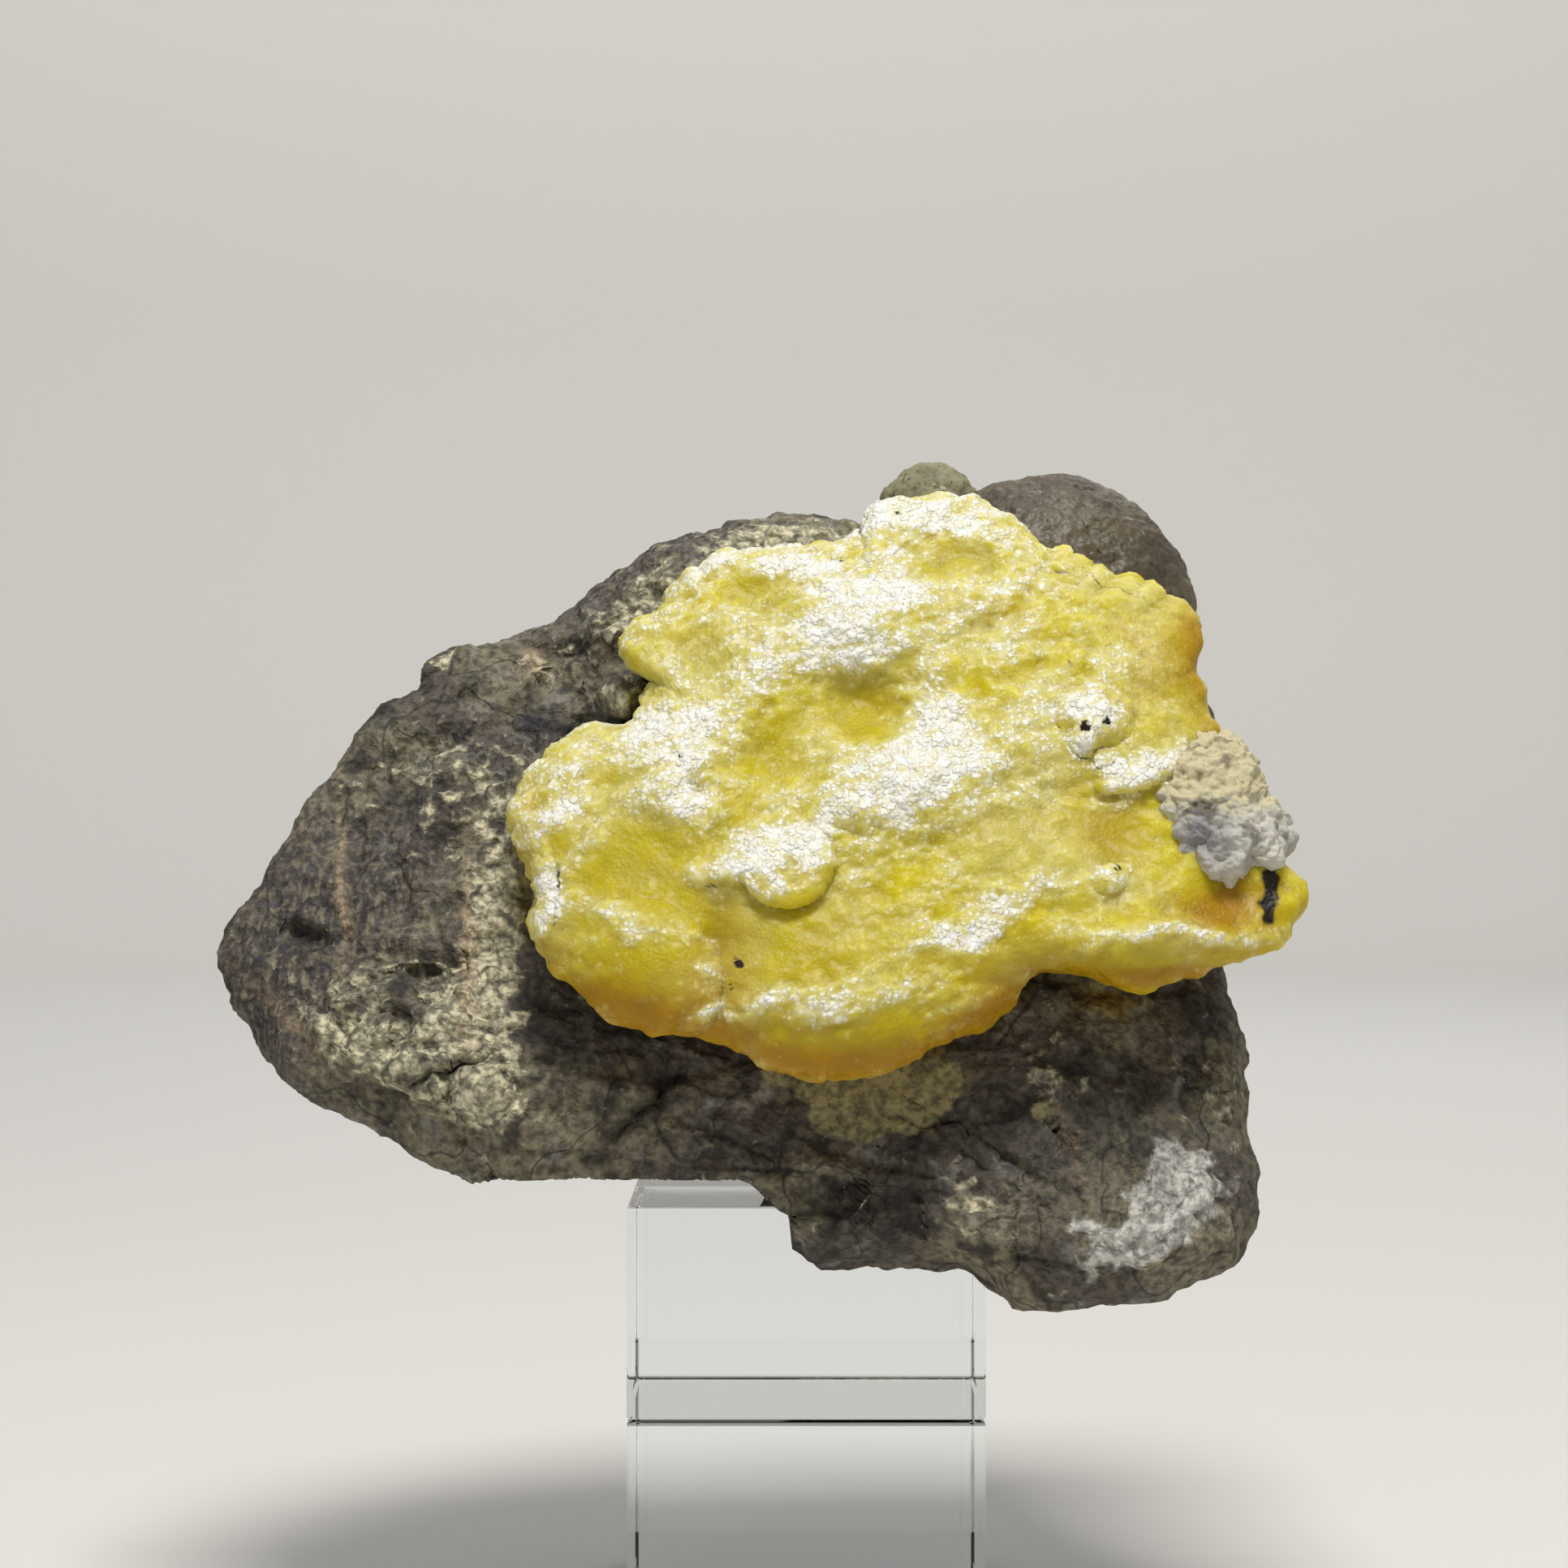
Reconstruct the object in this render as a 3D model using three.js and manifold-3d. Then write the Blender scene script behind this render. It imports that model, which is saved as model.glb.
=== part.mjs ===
// A brucite specimen: a thick lemon-yellow crust grown on grey-brown rock, with a pale
// nodule and two rounded lobes, resting on two stacked clear display blocks.
// Millimetres, +Z up, +X to the right of the front view, and the front faces -Y.
// The origin is the middle of the lower block's underside.
import * as THREE from "three";
import { mergeVertices } from "three/addons/utils/BufferGeometryUtils.js";
import Module from "manifold-3d";

const wasm = await Module();
wasm.setup();

// The display blocks, cut from one clear bar
const BLOCK_SIDE = 50;
const BLOCK_HEIGHT = 30;
const BLOCK_BEVEL = 0.6;
const BEVEL_STEPS = 1;

// The gap left between pieces that touch, and the wider one round the block's upright faces
const CONTACT_GAP = 0.3;
const SEAT_GAP = 1.5;

// How far the cut for the seat runs behind and below the rock
const SEAT_CUT_BACK = 80;
const SEAT_CUT_DEPTH = 40;

// Vertices closer than this are one vertex
const WELD = 1e-4;

const STACK_TOP = 2 * BLOCK_HEIGHT;

// The crust's outline from the front as [x, z], clockwise from its pointed upper left tip
const CRUST = {
  outline: [
    [-26.7, 137.7], [-22, 142.6], [-16.2, 149.1], [-11.7, 151.8], [2.2, 153.2], [8.3, 154.5],
    [10.5, 159.3], [20.8, 161.1], [26, 160.3], [34.1, 153.5], [43, 150.4], [56.1, 144.3],
    [56.9, 139.8], [55.4, 134.1], [57.3, 126.4], [61.9, 116.6], [64.6, 109.4], [68, 105.3],
    [67.8, 103.1], [65.8, 98.6], [60.9, 95.7], [48.3, 91.5], [44.2, 90.6], [37, 93],
    [31.1, 93.3], [25.9, 87.8], [17, 84.2], [10, 80.4], [0.9, 79.4], [-8.2, 82.4],
    [-14.5, 85.5], [-20.7, 85.1], [-29.8, 89.4], [-36.5, 96.3], [-36.5, 100.1],
    [-38.6, 108.2], [-40.8, 115], [-39.2, 119.7], [-31.2, 126.1], [-24, 127.1], [-21.9, 133.6],
  ],
  centre: [10, 116.5],
  rim: { y: -45, z: 80, lean: 0.58 },
  front: 10,
  back: 20,
  squareness: 2.5,
  swells: [
    { x: 7.5, z: 129.6, wide: 9, tall: 6, rise: -6 },
    { x: -3.8, z: 122.8, wide: 8, tall: 6, rise: -3 },
    { x: -7.2, z: 144.7, wide: 6, tall: 5, rise: -2.5 },
    { x: -15.1, z: 136.5, wide: 5, tall: 5, rise: -2 },
    { x: 20.5, z: 150.7, wide: 8, tall: 4, rise: -2 },
    { x: 12.9, z: 118.4, wide: 14, tall: 6, rise: 2.5 },
    { x: 40.1, z: 128.5, wide: 8, tall: 7, rise: 3 },
    { x: -5, z: 107.6, wide: 8, tall: 4.5, rise: 5 },
    { x: -22, z: 94.5, wide: 9, tall: 8, rise: 4.5 },
    { x: 4, z: 90, wide: 16, tall: 9, rise: 4 },
    { x: 48, z: 98.4, wide: 14, tall: 4, rise: 3 },
    { x: 43, z: 112, wide: 8, tall: 7, rise: -2.5 },
  ],
  backSwells: [],
  roughness: 0.5,
};

// The rock's outline from the front, clockwise from its left end. The stretch behind the
// crust is not seen, and follows the crust a little further in.
const ROCK = {
  outline: [
    [-82.9, 94], [-80.4, 102.3], [-71, 117.1], [-62.3, 129.9], [-57.1, 133.3], [-53.2, 139.2],
    [-37.6, 143.9], [-26.9, 151.7], [-17.2, 155.9], [-3, 160], [4.8, 159.6], [12, 157],
    [24, 150], [38, 144], [52, 136], [60.5, 130.3], [58, 118], [57, 104], [58.6, 91.8],
    [61.3, 75.2], [62, 58.2], [59.8, 54.7], [48.5, 49.9], [33.8, 49.4], [21.4, 54.7],
    [2.1, 55.8], [-4.6, 60.3], [-16, 62.5], [-31, 64.3], [-41.5, 63], [-52.1, 66.9],
    [-62.9, 72], [-73, 78], [-78.8, 85.5],
  ],
  centre: [-5, 105],
  rim: { y: -30, z: 60, lean: 0.5 },
  front: 15,
  back: 28,
  squareness: 3,
  swells: [
    { x: -52, z: 84, wide: 16, tall: 9, rise: 5 },
    { x: -70, z: 112, wide: 20, tall: 22, rise: -5 },
    { x: -45, z: 132, wide: 22, tall: 12, rise: -4 },
    { x: 49, z: 60, wide: 15, tall: 9, rise: 8 },
    { x: 10, z: 72, wide: 24, tall: 7, rise: -4 },
  ],
  backSwells: [
    { x: 2, z: 75, wide: 40, tall: 22, rise: 17 },
    { x: -52, z: 98, wide: 20, tall: 18, rise: -5 },
    { x: -24, z: 132, wide: 18, tall: 13, rise: -4 },
    { x: 34, z: 108, wide: 18, tall: 16, rise: 4 },
  ],
  roughness: 1.6,
};

// The underside sags onto the block within this ellipse
const REST_PATCH = { x: 6, y: 2, wide: 26, deep: 26, sag: 16 };

const NODULE = {
  outline: [
    [49, 121], [53, 124.6], [60.6, 125], [62.7, 118.3], [65.6, 113.1], [66, 110.6],
    [65.2, 108.4], [61.4, 106.6], [56.8, 105.4], [52, 107.2], [49.5, 110], [49, 115],
  ],
  centre: [57, 115],
  rim: { y: -31, z: 110, lean: 0.58 },
  front: 7,
  back: 7,
  squareness: 2.2,
  swells: [],
  backSwells: [],
  roughness: 0.5,
};

const DOME = {
  outline: ellipse(37, 144.5, 22, 21.6),
  centre: [37, 144.5],
  rim: { y: 20, z: 144.5, lean: 0.15 },
  front: 17,
  back: 19,
  squareness: 2.1,
  swells: [],
  backSwells: [],
  roughness: 0.4,
};

const KNOB = {
  outline: ellipse(19, 157.6, 8.4, 9.4),
  centre: [19, 157.6],
  rim: { y: 15, z: 157.6, lean: 0.2 },
  front: 8,
  back: 9,
  squareness: 2.1,
  swells: [],
  backSwells: [],
  roughness: 0.3,
};

// Cells across the face and through the depth of the cube that each lump starts from
const DETAIL = {
  rock: [20, 8],
  crust: [20, 6],
  nodule: [7, 4],
  dome: [9, 6],
  knob: [7, 4],
};

// Long and short waves of the broken surface: [wavelength in mm, share of the roughness]
const WAVES = [
  [31, 1],
  [17, 0.7],
  [9.5, 0.5],
];

const FINISHES = {
  rock: { color: 0x6b6253, roughness: 0.85, metalness: 0 },
  brucite: { color: 0xe0c62e, roughness: 0.35, metalness: 0 },
  nodule: { color: 0xb9b6ab, roughness: 0.8, metalness: 0 },
  dome: { color: 0x7b6f5c, roughness: 0.6, metalness: 0 },
  knob: { color: 0x9a9579, roughness: 0.75, metalness: 0 },
  acrylic: { color: 0xeef3f5, roughness: 0.05, metalness: 0, transparent: true, opacity: 0.3 },
};

// The corners of an ellipse as [x, z]
function ellipse(x, z, wide, tall, corners = 24) {
  const step = (2 * Math.PI) / corners;
  return Array.from({ length: corners }, (_, i) => [
    x + wide * Math.cos(i * step),
    z + tall * Math.sin(i * step),
  ]);
}

// A cube's grid coordinate moved so that the grid's lines part by equal angles
function evenly(coordinate) {
  return Math.tan((coordinate * Math.PI) / 4);
}

// A smooth bell, 1 in the middle and near 0 beyond its reach
function bell(across, up) {
  return Math.exp(-across * across - up * up);
}

// A gentle irregular wave between about -1 and 1 at a point
function unevenness(x, y, z) {
  let sum = 0;
  let shares = 0;
  for (const [length, share] of WAVES) {
    const k = (2 * Math.PI) / length;
    sum += share * Math.sin(k * (x + 0.4 * z)) * Math.sin(k * (z - 0.3 * y) + 1.7);
    sum += share * Math.sin(k * (y - 0.5 * x) + 0.6) * Math.cos(k * (x + z) * 0.7);
    shares += share;
  }
  return sum / shares;
}

// The depth that a list of swells adds at a place seen from the front
function swellAt(swells, x, z) {
  return swells.reduce(
    (sum, { rise, wide, tall, ...at }) => sum + rise * bell((x - at.x) / wide, (z - at.z) / tall),
    0,
  );
}

// A ball pressed flat: from the front it fills its outline, and its rim lies on a leaning
// plane, with a boss before and behind it. Squareness 2 gives the boss an elliptical
// section, and more gives a boxier one.
class Lump {
  constructor({ outline, ...shape }) {
    Object.assign(this, shape);
    const { centre } = shape;
    const [cx, cz] = centre;
    this.spokes = outline
      .map(([x, z]) => ({ angle: Math.atan2(z - cz, x - cx), reach: Math.hypot(x - cx, z - cz) }))
      .sort((a, b) => a.angle - b.angle);
  }

  // The outline's distance from the centre at an angle
  reachAt(angle) {
    const turn = 2 * Math.PI;
    const after = this.spokes.findIndex((spoke) => spoke.angle > angle);
    const next = this.spokes[after < 0 ? 0 : after];
    const last = this.spokes.at(after <= 0 ? -1 : after - 1);
    const span = (next.angle - last.angle + turn) % turn;
    const share = ((angle - last.angle + turn) % turn) / span;
    return last.reach + (next.reach - last.reach) * share;
  }

  // Where the ball's point in a direction goes, on the lump grown by some thickness
  place(direction, growth) {
    const angle = Math.atan2(direction.z, direction.x);
    const across = Math.hypot(direction.x, direction.z);
    const along = Math.abs(direction.y);
    const power = this.squareness;
    const size = (across ** power + along ** power) ** (1 / power);
    const out = (across / size) * (this.reachAt(angle) + growth);
    const x = this.centre[0] + out * Math.cos(angle);
    const z = this.centre[1] + out * Math.sin(angle);
    const rimY = this.rim.y + this.rim.lean * (z - this.rim.z);
    const stand = along / size;
    const depth =
      direction.y < 0
        ? -(this.front + growth + swellAt(this.swells, x, z))
        : this.back + growth + swellAt(this.backSwells, x, z);
    const point = new THREE.Vector3(x, rimY + depth * stand, z);
    const wave = this.roughness * unevenness(point.x, point.y, point.z);
    return point.addScaledVector(direction, wave);
  }

  // The closed mesh, from a cube's grid, whose columns run straight through the rim
  geometry([face, through], growth = 0, adjust = (point) => point) {
    const cube = new THREE.BoxGeometry(2, 2, 2, face, through, face);
    cube.deleteAttribute("normal");
    cube.deleteAttribute("uv");
    const geometry = mergeVertices(cube, WELD);
    const positions = geometry.getAttribute("position");
    const direction = new THREE.Vector3();
    for (let i = 0; i < positions.count; i += 1) {
      direction.fromBufferAttribute(positions, i);
      direction.set(evenly(direction.x), evenly(direction.y), evenly(direction.z)).normalize();
      const point = adjust(this.place(direction, growth), direction);
      positions.setXYZ(i, point.x, point.y, point.z);
    }
    return geometry;
  }
}

// The rock's underside sags onto the block's top
function sagToRest(point, direction) {
  const down = Math.max(0, -direction.z);
  const near = bell((point.x - REST_PATCH.x) / REST_PATCH.wide, (point.y - REST_PATCH.y) / REST_PATCH.deep);
  point.z -= REST_PATCH.sag * down * near;
  return point;
}

function solidOf(geometry) {
  const bare = geometry.clone();
  bare.deleteAttribute("normal");
  bare.deleteAttribute("uv");
  const merged = mergeVertices(bare, WELD);
  return new wasm.Manifold(
    new wasm.Mesh({
      numProp: 3,
      vertProperties: merged.getAttribute("position").array,
      triVerts: new Uint32Array(merged.index.array),
    }),
  );
}

function geometryOf(solid) {
  const { vertProperties, triVerts } = solid.getMesh();
  const geometry = new THREE.BufferGeometry();
  geometry.setAttribute("position", new THREE.BufferAttribute(vertProperties, 3));
  geometry.setIndex(new THREE.BufferAttribute(triVerts, 1));
  geometry.computeVertexNormals();
  return geometry;
}

// The space that the rock leaves for the upper block, with room at its upright faces
function seatCut() {
  const half = BLOCK_SIDE / 2 + SEAT_GAP;
  const box = new THREE.BoxGeometry(2 * half, half + SEAT_CUT_BACK, SEAT_CUT_DEPTH + CONTACT_GAP);
  const middleY = (SEAT_CUT_BACK - half) / 2;
  const middleZ = STACK_TOP + (CONTACT_GAP - SEAT_CUT_DEPTH) / 2;
  return solidOf(box.translate(0, middleY, middleZ));
}

// A square block with every edge eased, standing on z = 0
function blockGeometry() {
  const half = BLOCK_SIDE / 2 - BLOCK_BEVEL;
  const inner = half - BLOCK_BEVEL;
  const outline = new THREE.Shape();
  const corners = [[inner, -inner], [inner, inner], [-inner, inner], [-inner, -inner]];
  corners.forEach(([x, y], i) => {
    const start = ((i - 1) * Math.PI) / 2;
    outline.absarc(x, y, BLOCK_BEVEL, start, start + Math.PI / 2);
  });
  const block = new THREE.ExtrudeGeometry(outline, {
    depth: BLOCK_HEIGHT - 2 * BLOCK_BEVEL,
    curveSegments: BEVEL_STEPS,
    bevelEnabled: true,
    bevelThickness: BLOCK_BEVEL,
    bevelSize: BLOCK_BEVEL,
    bevelSegments: BEVEL_STEPS,
  });
  return block.translate(0, 0, BLOCK_BEVEL);
}

function piece(name, geometry, finish) {
  const mesh = new THREE.Mesh(geometry, new THREE.MeshStandardMaterial(finish));
  mesh.name = name;
  return mesh;
}

const crust = new Lump(CRUST);
const rock = new Lump(ROCK);
const nodule = new Lump(NODULE);
const dome = new Lump(DOME);
const knob = new Lump(KNOB);

// A lump's solid, or its solid grown by the gap that its neighbour is cut back to
const solid = (lump, detail) => solidOf(lump.geometry(detail));
const room = (lump, detail) => solidOf(lump.geometry(detail, CONTACT_GAP));

const noduleRoom = room(nodule, DETAIL.nodule);
const knobRoom = room(knob, DETAIL.knob);
const domeRoom = room(dome, DETAIL.dome);
const crustRoom = room(crust, DETAIL.crust);

const rockSolid = solidOf(rock.geometry(DETAIL.rock, 0, sagToRest))
  .subtract(seatCut())
  .subtract(crustRoom)
  .subtract(noduleRoom)
  .subtract(domeRoom)
  .subtract(knobRoom);
const crustSolid = solid(crust, DETAIL.crust).subtract(noduleRoom);
const domeSolid = solid(dome, DETAIL.dome).subtract(crustRoom).subtract(knobRoom);
const knobSolid = solid(knob, DETAIL.knob).subtract(crustRoom);

const specimen = new THREE.Group();
specimen.add(
  piece("matrix_rock", geometryOf(rockSolid), FINISHES.rock),
  piece("brucite_crust", geometryOf(crustSolid), FINISHES.brucite),
  piece("carbonate_nodule", nodule.geometry(DETAIL.nodule), FINISHES.nodule),
  piece("rear_dome", geometryOf(domeSolid), FINISHES.dome),
  piece("rear_knob", geometryOf(knobSolid), FINISHES.knob),
);

// The stack: the lower block stands on the surface, and the upper one on it
const stack = new THREE.Group();
const lowerBlock = piece("display_block_lower", blockGeometry(), FINISHES.acrylic);
const upperBlock = piece("display_block_upper", blockGeometry(), FINISHES.acrylic);
upperBlock.scale.z = (BLOCK_HEIGHT - CONTACT_GAP) / BLOCK_HEIGHT;
upperBlock.position.z = BLOCK_HEIGHT + CONTACT_GAP;
stack.add(lowerBlock, upperBlock);

const part = new THREE.Group();
part.add(specimen, stack);

export default part;
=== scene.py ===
"""Looks of a brucite specimen: a lemon-yellow crust on grey-brown rock, on two clear blocks.

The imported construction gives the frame. Every lump is a cube's grid pressed into its
outline, carved with named swells and hollows, and given its grain in mesh and material.
Sizes are in millimetres until a mesh is finished, and in metres after that.
"""

from __future__ import annotations

import logging
import math
from dataclasses import dataclass, field
from enum import Enum
from typing import TypeAlias

import bmesh
import bpy
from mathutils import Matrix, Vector, noise

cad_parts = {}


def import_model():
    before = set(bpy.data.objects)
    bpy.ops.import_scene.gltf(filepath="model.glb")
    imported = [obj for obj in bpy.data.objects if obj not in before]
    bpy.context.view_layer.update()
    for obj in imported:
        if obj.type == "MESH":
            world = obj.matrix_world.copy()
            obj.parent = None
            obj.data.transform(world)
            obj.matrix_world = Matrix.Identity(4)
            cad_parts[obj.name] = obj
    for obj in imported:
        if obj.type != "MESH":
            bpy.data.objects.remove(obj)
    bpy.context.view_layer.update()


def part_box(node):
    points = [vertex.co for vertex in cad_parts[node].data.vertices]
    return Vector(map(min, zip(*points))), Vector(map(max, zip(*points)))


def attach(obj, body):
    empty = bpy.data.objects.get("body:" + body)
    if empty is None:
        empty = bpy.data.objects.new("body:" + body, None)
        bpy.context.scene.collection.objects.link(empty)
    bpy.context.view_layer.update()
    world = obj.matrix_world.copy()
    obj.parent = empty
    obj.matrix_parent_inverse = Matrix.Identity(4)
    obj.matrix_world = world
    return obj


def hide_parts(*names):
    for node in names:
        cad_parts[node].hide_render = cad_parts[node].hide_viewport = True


LOG = logging.getLogger("brucite_specimen")

MM = 0.001
BODY = "root"

# The crust's and the rock's rims lie on planes that lean back as they rise
CRUST_LEAN = 0.58
ROCK_LEAN = 0.5

Range: TypeAlias = tuple[float, float]
Corners: TypeAlias = tuple[tuple[float, float], ...]
Socket: TypeAlias = bpy.types.NodeSocket
SocketValue: TypeAlias = bpy.types.NodeSocket | float | tuple[float, ...] | Vector


def clamp(value: float, low: float = 0.0, high: float = 1.0) -> float:
    """Hold a value between two limits."""
    return max(low, min(high, value))


def ease(start: float, end: float, value: float) -> float:
    """Rise smoothly from 0 at start to 1 at end."""
    share = clamp((value - start) / (end - start))
    return share * share * (3.0 - 2.0 * share)


def linear_colour(hex_code: str) -> tuple[float, float, float, float]:
    """Turn an sRGB hex colour to linear light.

    Args:
        hex_code: Six hexadecimal digits after a hash sign.

    Returns:
        Linear red, green and blue, and an alpha of 1.
    """
    channels = []
    for start in (1, 3, 5):
        value = int(hex_code[start : start + 2], 16) / 255.0
        channels.append(value / 12.92 if value <= 0.04045 else ((value + 0.055) / 1.055) ** 2.4)
    return (channels[0], channels[1], channels[2], 1.0)


def per_metre(size_mm: float) -> float:
    """Turn a pattern's real size in millimetres into a texture scale on metre coordinates."""
    return 1.0 / (size_mm * MM)


def lobes(point: Vector, size: float) -> float:
    """Return rounded botryoidal lobes, from 0 in the creases to 1 on the crowns.

    Args:
        point: A place in millimetres.
        size: The lobes' width in millimetres.

    Returns:
        The lobes' height at that place.
    """
    nearest = noise.voronoi(point / size)[0][0]
    return 1.0 - clamp(nearest) ** 2


def grit(point: Vector, size: float, octaves: int = 4) -> float:
    """Return a broken, fractal unevenness between about -1 and 1 at a place."""
    return noise.fractal(point / size, 1.0, 2.1, octaves)


def pushed_aside(point: Vector, sizes: tuple[float, float, float], reach: float) -> Vector:
    """Return a place pushed aside by slow noise, so that what is read there looks grown.

    Args:
        point: A place in millimetres.
        sizes: How long the noise's waves are along each axis.
        reach: How far it pushes.

    Returns:
        The other place.
    """
    return point + reach * Vector([grit(point, size, 2) for size in sizes])


@dataclass(frozen=True)
class Line:
    """A straight line, for a weight that grows or falls with another value."""

    base: float
    gain: float

    def at(self, value: float) -> float:
        """Return the line's height at a value."""
        return self.base + self.gain * value


@dataclass(frozen=True)
class Knobs:
    """Rounded lobes of one size that stand up from a surface."""

    wide: float
    tall: float
    level: float = 0.6

    def at(self, point: Vector) -> float:
        """Return the lobes' height at a place, which is below 0 in the creases."""
        return (lobes(point, self.wide) - self.level) * self.tall


@dataclass(frozen=True)
class Grit:
    """Fractal unevenness of one size and height."""

    wide: float
    tall: float
    octaves: int

    def at(self, point: Vector) -> float:
        """Return the unevenness at a place."""
        return grit(point, self.wide, self.octaves) * self.tall


@dataclass(frozen=True)
class Streak:
    """The way that streaks run across a lump's front, and how narrow they are."""

    cosine: float
    sine: float
    squeeze: float

    def at(self, point: Vector) -> Vector:
        """Return a place turned along the streaks and squeezed across them."""
        across = self.squeeze * (self.cosine * point.z - self.sine * point.x)
        return Vector((self.cosine * point.x + self.sine * point.z, point.y, across))


class Profile(Enum):
    """How a swell meets the surface round it.

    SOFT fades out far from its middle, ROUND ends at a crisp foot, and SHELF also hangs
    over at its lower side.
    """

    SOFT = "soft"
    ROUND = "round"
    SHELF = "shelf"


@dataclass(frozen=True)
class Spot:
    """A place on a lump's front: a swell, a hollow or a patch of finish."""

    # A soft spot is cut off at three times its width, as a square of that share
    REACH_SQUARE = 9.0
    SHELF_MIDDLE = 0.55
    SHELF_TILT = 0.45

    x: float
    z: float
    wide: float
    tall: float
    amount: float = 1.0
    profile: Profile = Profile.SOFT
    turn: float = 0.0

    def at(self, x: float, z: float) -> float:
        """Return the spot's amount at a place seen from the front.

        Args:
            x: Millimetres to the right.
            z: Millimetres up.

        Returns:
            The whole amount in the middle, falling to none at the edge.
        """
        dx = x - self.x
        dz = z - self.z
        if self.turn:
            cosine = math.cos(math.radians(self.turn))
            sine = math.sin(math.radians(self.turn))
            dx, dz = dx * cosine + dz * sine, dz * cosine - dx * sine
        across = dx / self.wide
        up = dz / self.tall
        square = across * across + up * up
        if square > self.REACH_SQUARE:
            return 0.0
        if self.profile is Profile.SOFT:
            return self.amount * math.exp(-square)
        dome = math.sqrt(max(0.0, 1.0 - square))
        if self.profile is Profile.SHELF:
            fall = self.SHELF_MIDDLE - self.SHELF_TILT * clamp(up, -1.0, 1.0)
            return self.amount * math.sqrt(dome) * fall
        return self.amount * dome


def total(spots: tuple[Spot, ...], x: float, z: float) -> float:
    """Add up the amounts of several spots at a place."""
    return sum(spot.at(x, z) for spot in spots)


class Outline:
    """A lump's edge from the front, as its distance from the centre at every angle."""

    STEPS = 2880
    CALM_STEPS = 110
    FADE = 5.0
    STEEPEST = 1.5

    def __init__(self, points: Corners, centre: tuple[float, float]) -> None:
        """Work out the distances once.

        Args:
            points: The edge's corners as x and z.
            centre: The point that the distances start from.
        """
        spokes = sorted(
            (math.atan2(z - centre[1], x - centre[0]), math.hypot(x - centre[0], z - centre[1]))
            for x, z in points
        )
        self.reaches = [self._between(spokes, self._angle(step)) for step in range(self.STEPS)]
        window = 2 * self.CALM_STEPS + 1
        running = sum(self.reaches[-self.CALM_STEPS :]) + sum(self.reaches[: self.CALM_STEPS + 1])
        self.calm = []
        for step in range(self.STEPS):
            self.calm.append(running / window)
            entering = self.reaches[(step + self.CALM_STEPS + 1) % self.STEPS]
            running += entering - self.reaches[(step - self.CALM_STEPS) % self.STEPS]

    def _angle(self, step: int) -> float:
        """Return the angle of one step round the outline."""
        return -math.pi + 2.0 * math.pi * step / self.STEPS

    @classmethod
    def _between(cls, spokes: list[tuple[float, float]], angle: float) -> float:
        """Follow a smooth curve through the spokes on each side of an angle.

        Args:
            spokes: Angle and distance of each corner, sorted by angle.
            angle: Where the distance is asked for.

        Returns:
            The distance from the centre.
        """
        count = len(spokes)
        after = next((i for i, spoke in enumerate(spokes) if spoke[0] > angle), 0)
        near = [spokes[(after + k - 2) % count] for k in range(4)]
        whole = 2.0 * math.pi
        span = (near[2][0] - near[1][0]) % whole or whole
        share = ((angle - near[1][0]) % whole) / span
        before = (near[1][0] - near[0][0]) % whole or whole
        beyond = (near[3][0] - near[2][0]) % whole or whole
        chord = (near[2][1] - near[1][1]) / span
        slope_in = 0.5 * (chord + (near[1][1] - near[0][1]) / before) * span
        slope_out = 0.5 * (chord + (near[3][1] - near[2][1]) / beyond) * span
        steepest = cls.STEEPEST * abs(near[2][1] - near[1][1])
        slope_in = clamp(slope_in, -steepest, steepest)
        slope_out = clamp(slope_out, -steepest, steepest)
        square = share * share
        cube = square * share
        return (
            (2.0 * cube - 3.0 * square + 1.0) * near[1][1]
            + (cube - 2.0 * square + share) * slope_in
            + (3.0 * square - 2.0 * cube) * near[2][1]
            + (cube - square) * slope_out
        )

    def reach(self, angle: float, out: float) -> float:
        """Return the edge's distance, with its small bays faded away from the rim.

        Args:
            angle: The angle in radians.
            out: How near the rim the place is, from 0 to 1.

        Returns:
            The distance from the centre.
        """
        place = (angle + math.pi) / (2.0 * math.pi) * self.STEPS
        low = int(place)
        share = place - low
        here = low % self.STEPS
        after = (low + 1) % self.STEPS
        fine = self.reaches[here] + (self.reaches[after] - self.reaches[here]) * share
        calm = self.calm[here] + (self.calm[after] - self.calm[here]) * share
        return calm + (fine - calm) * out**self.FADE


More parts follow.
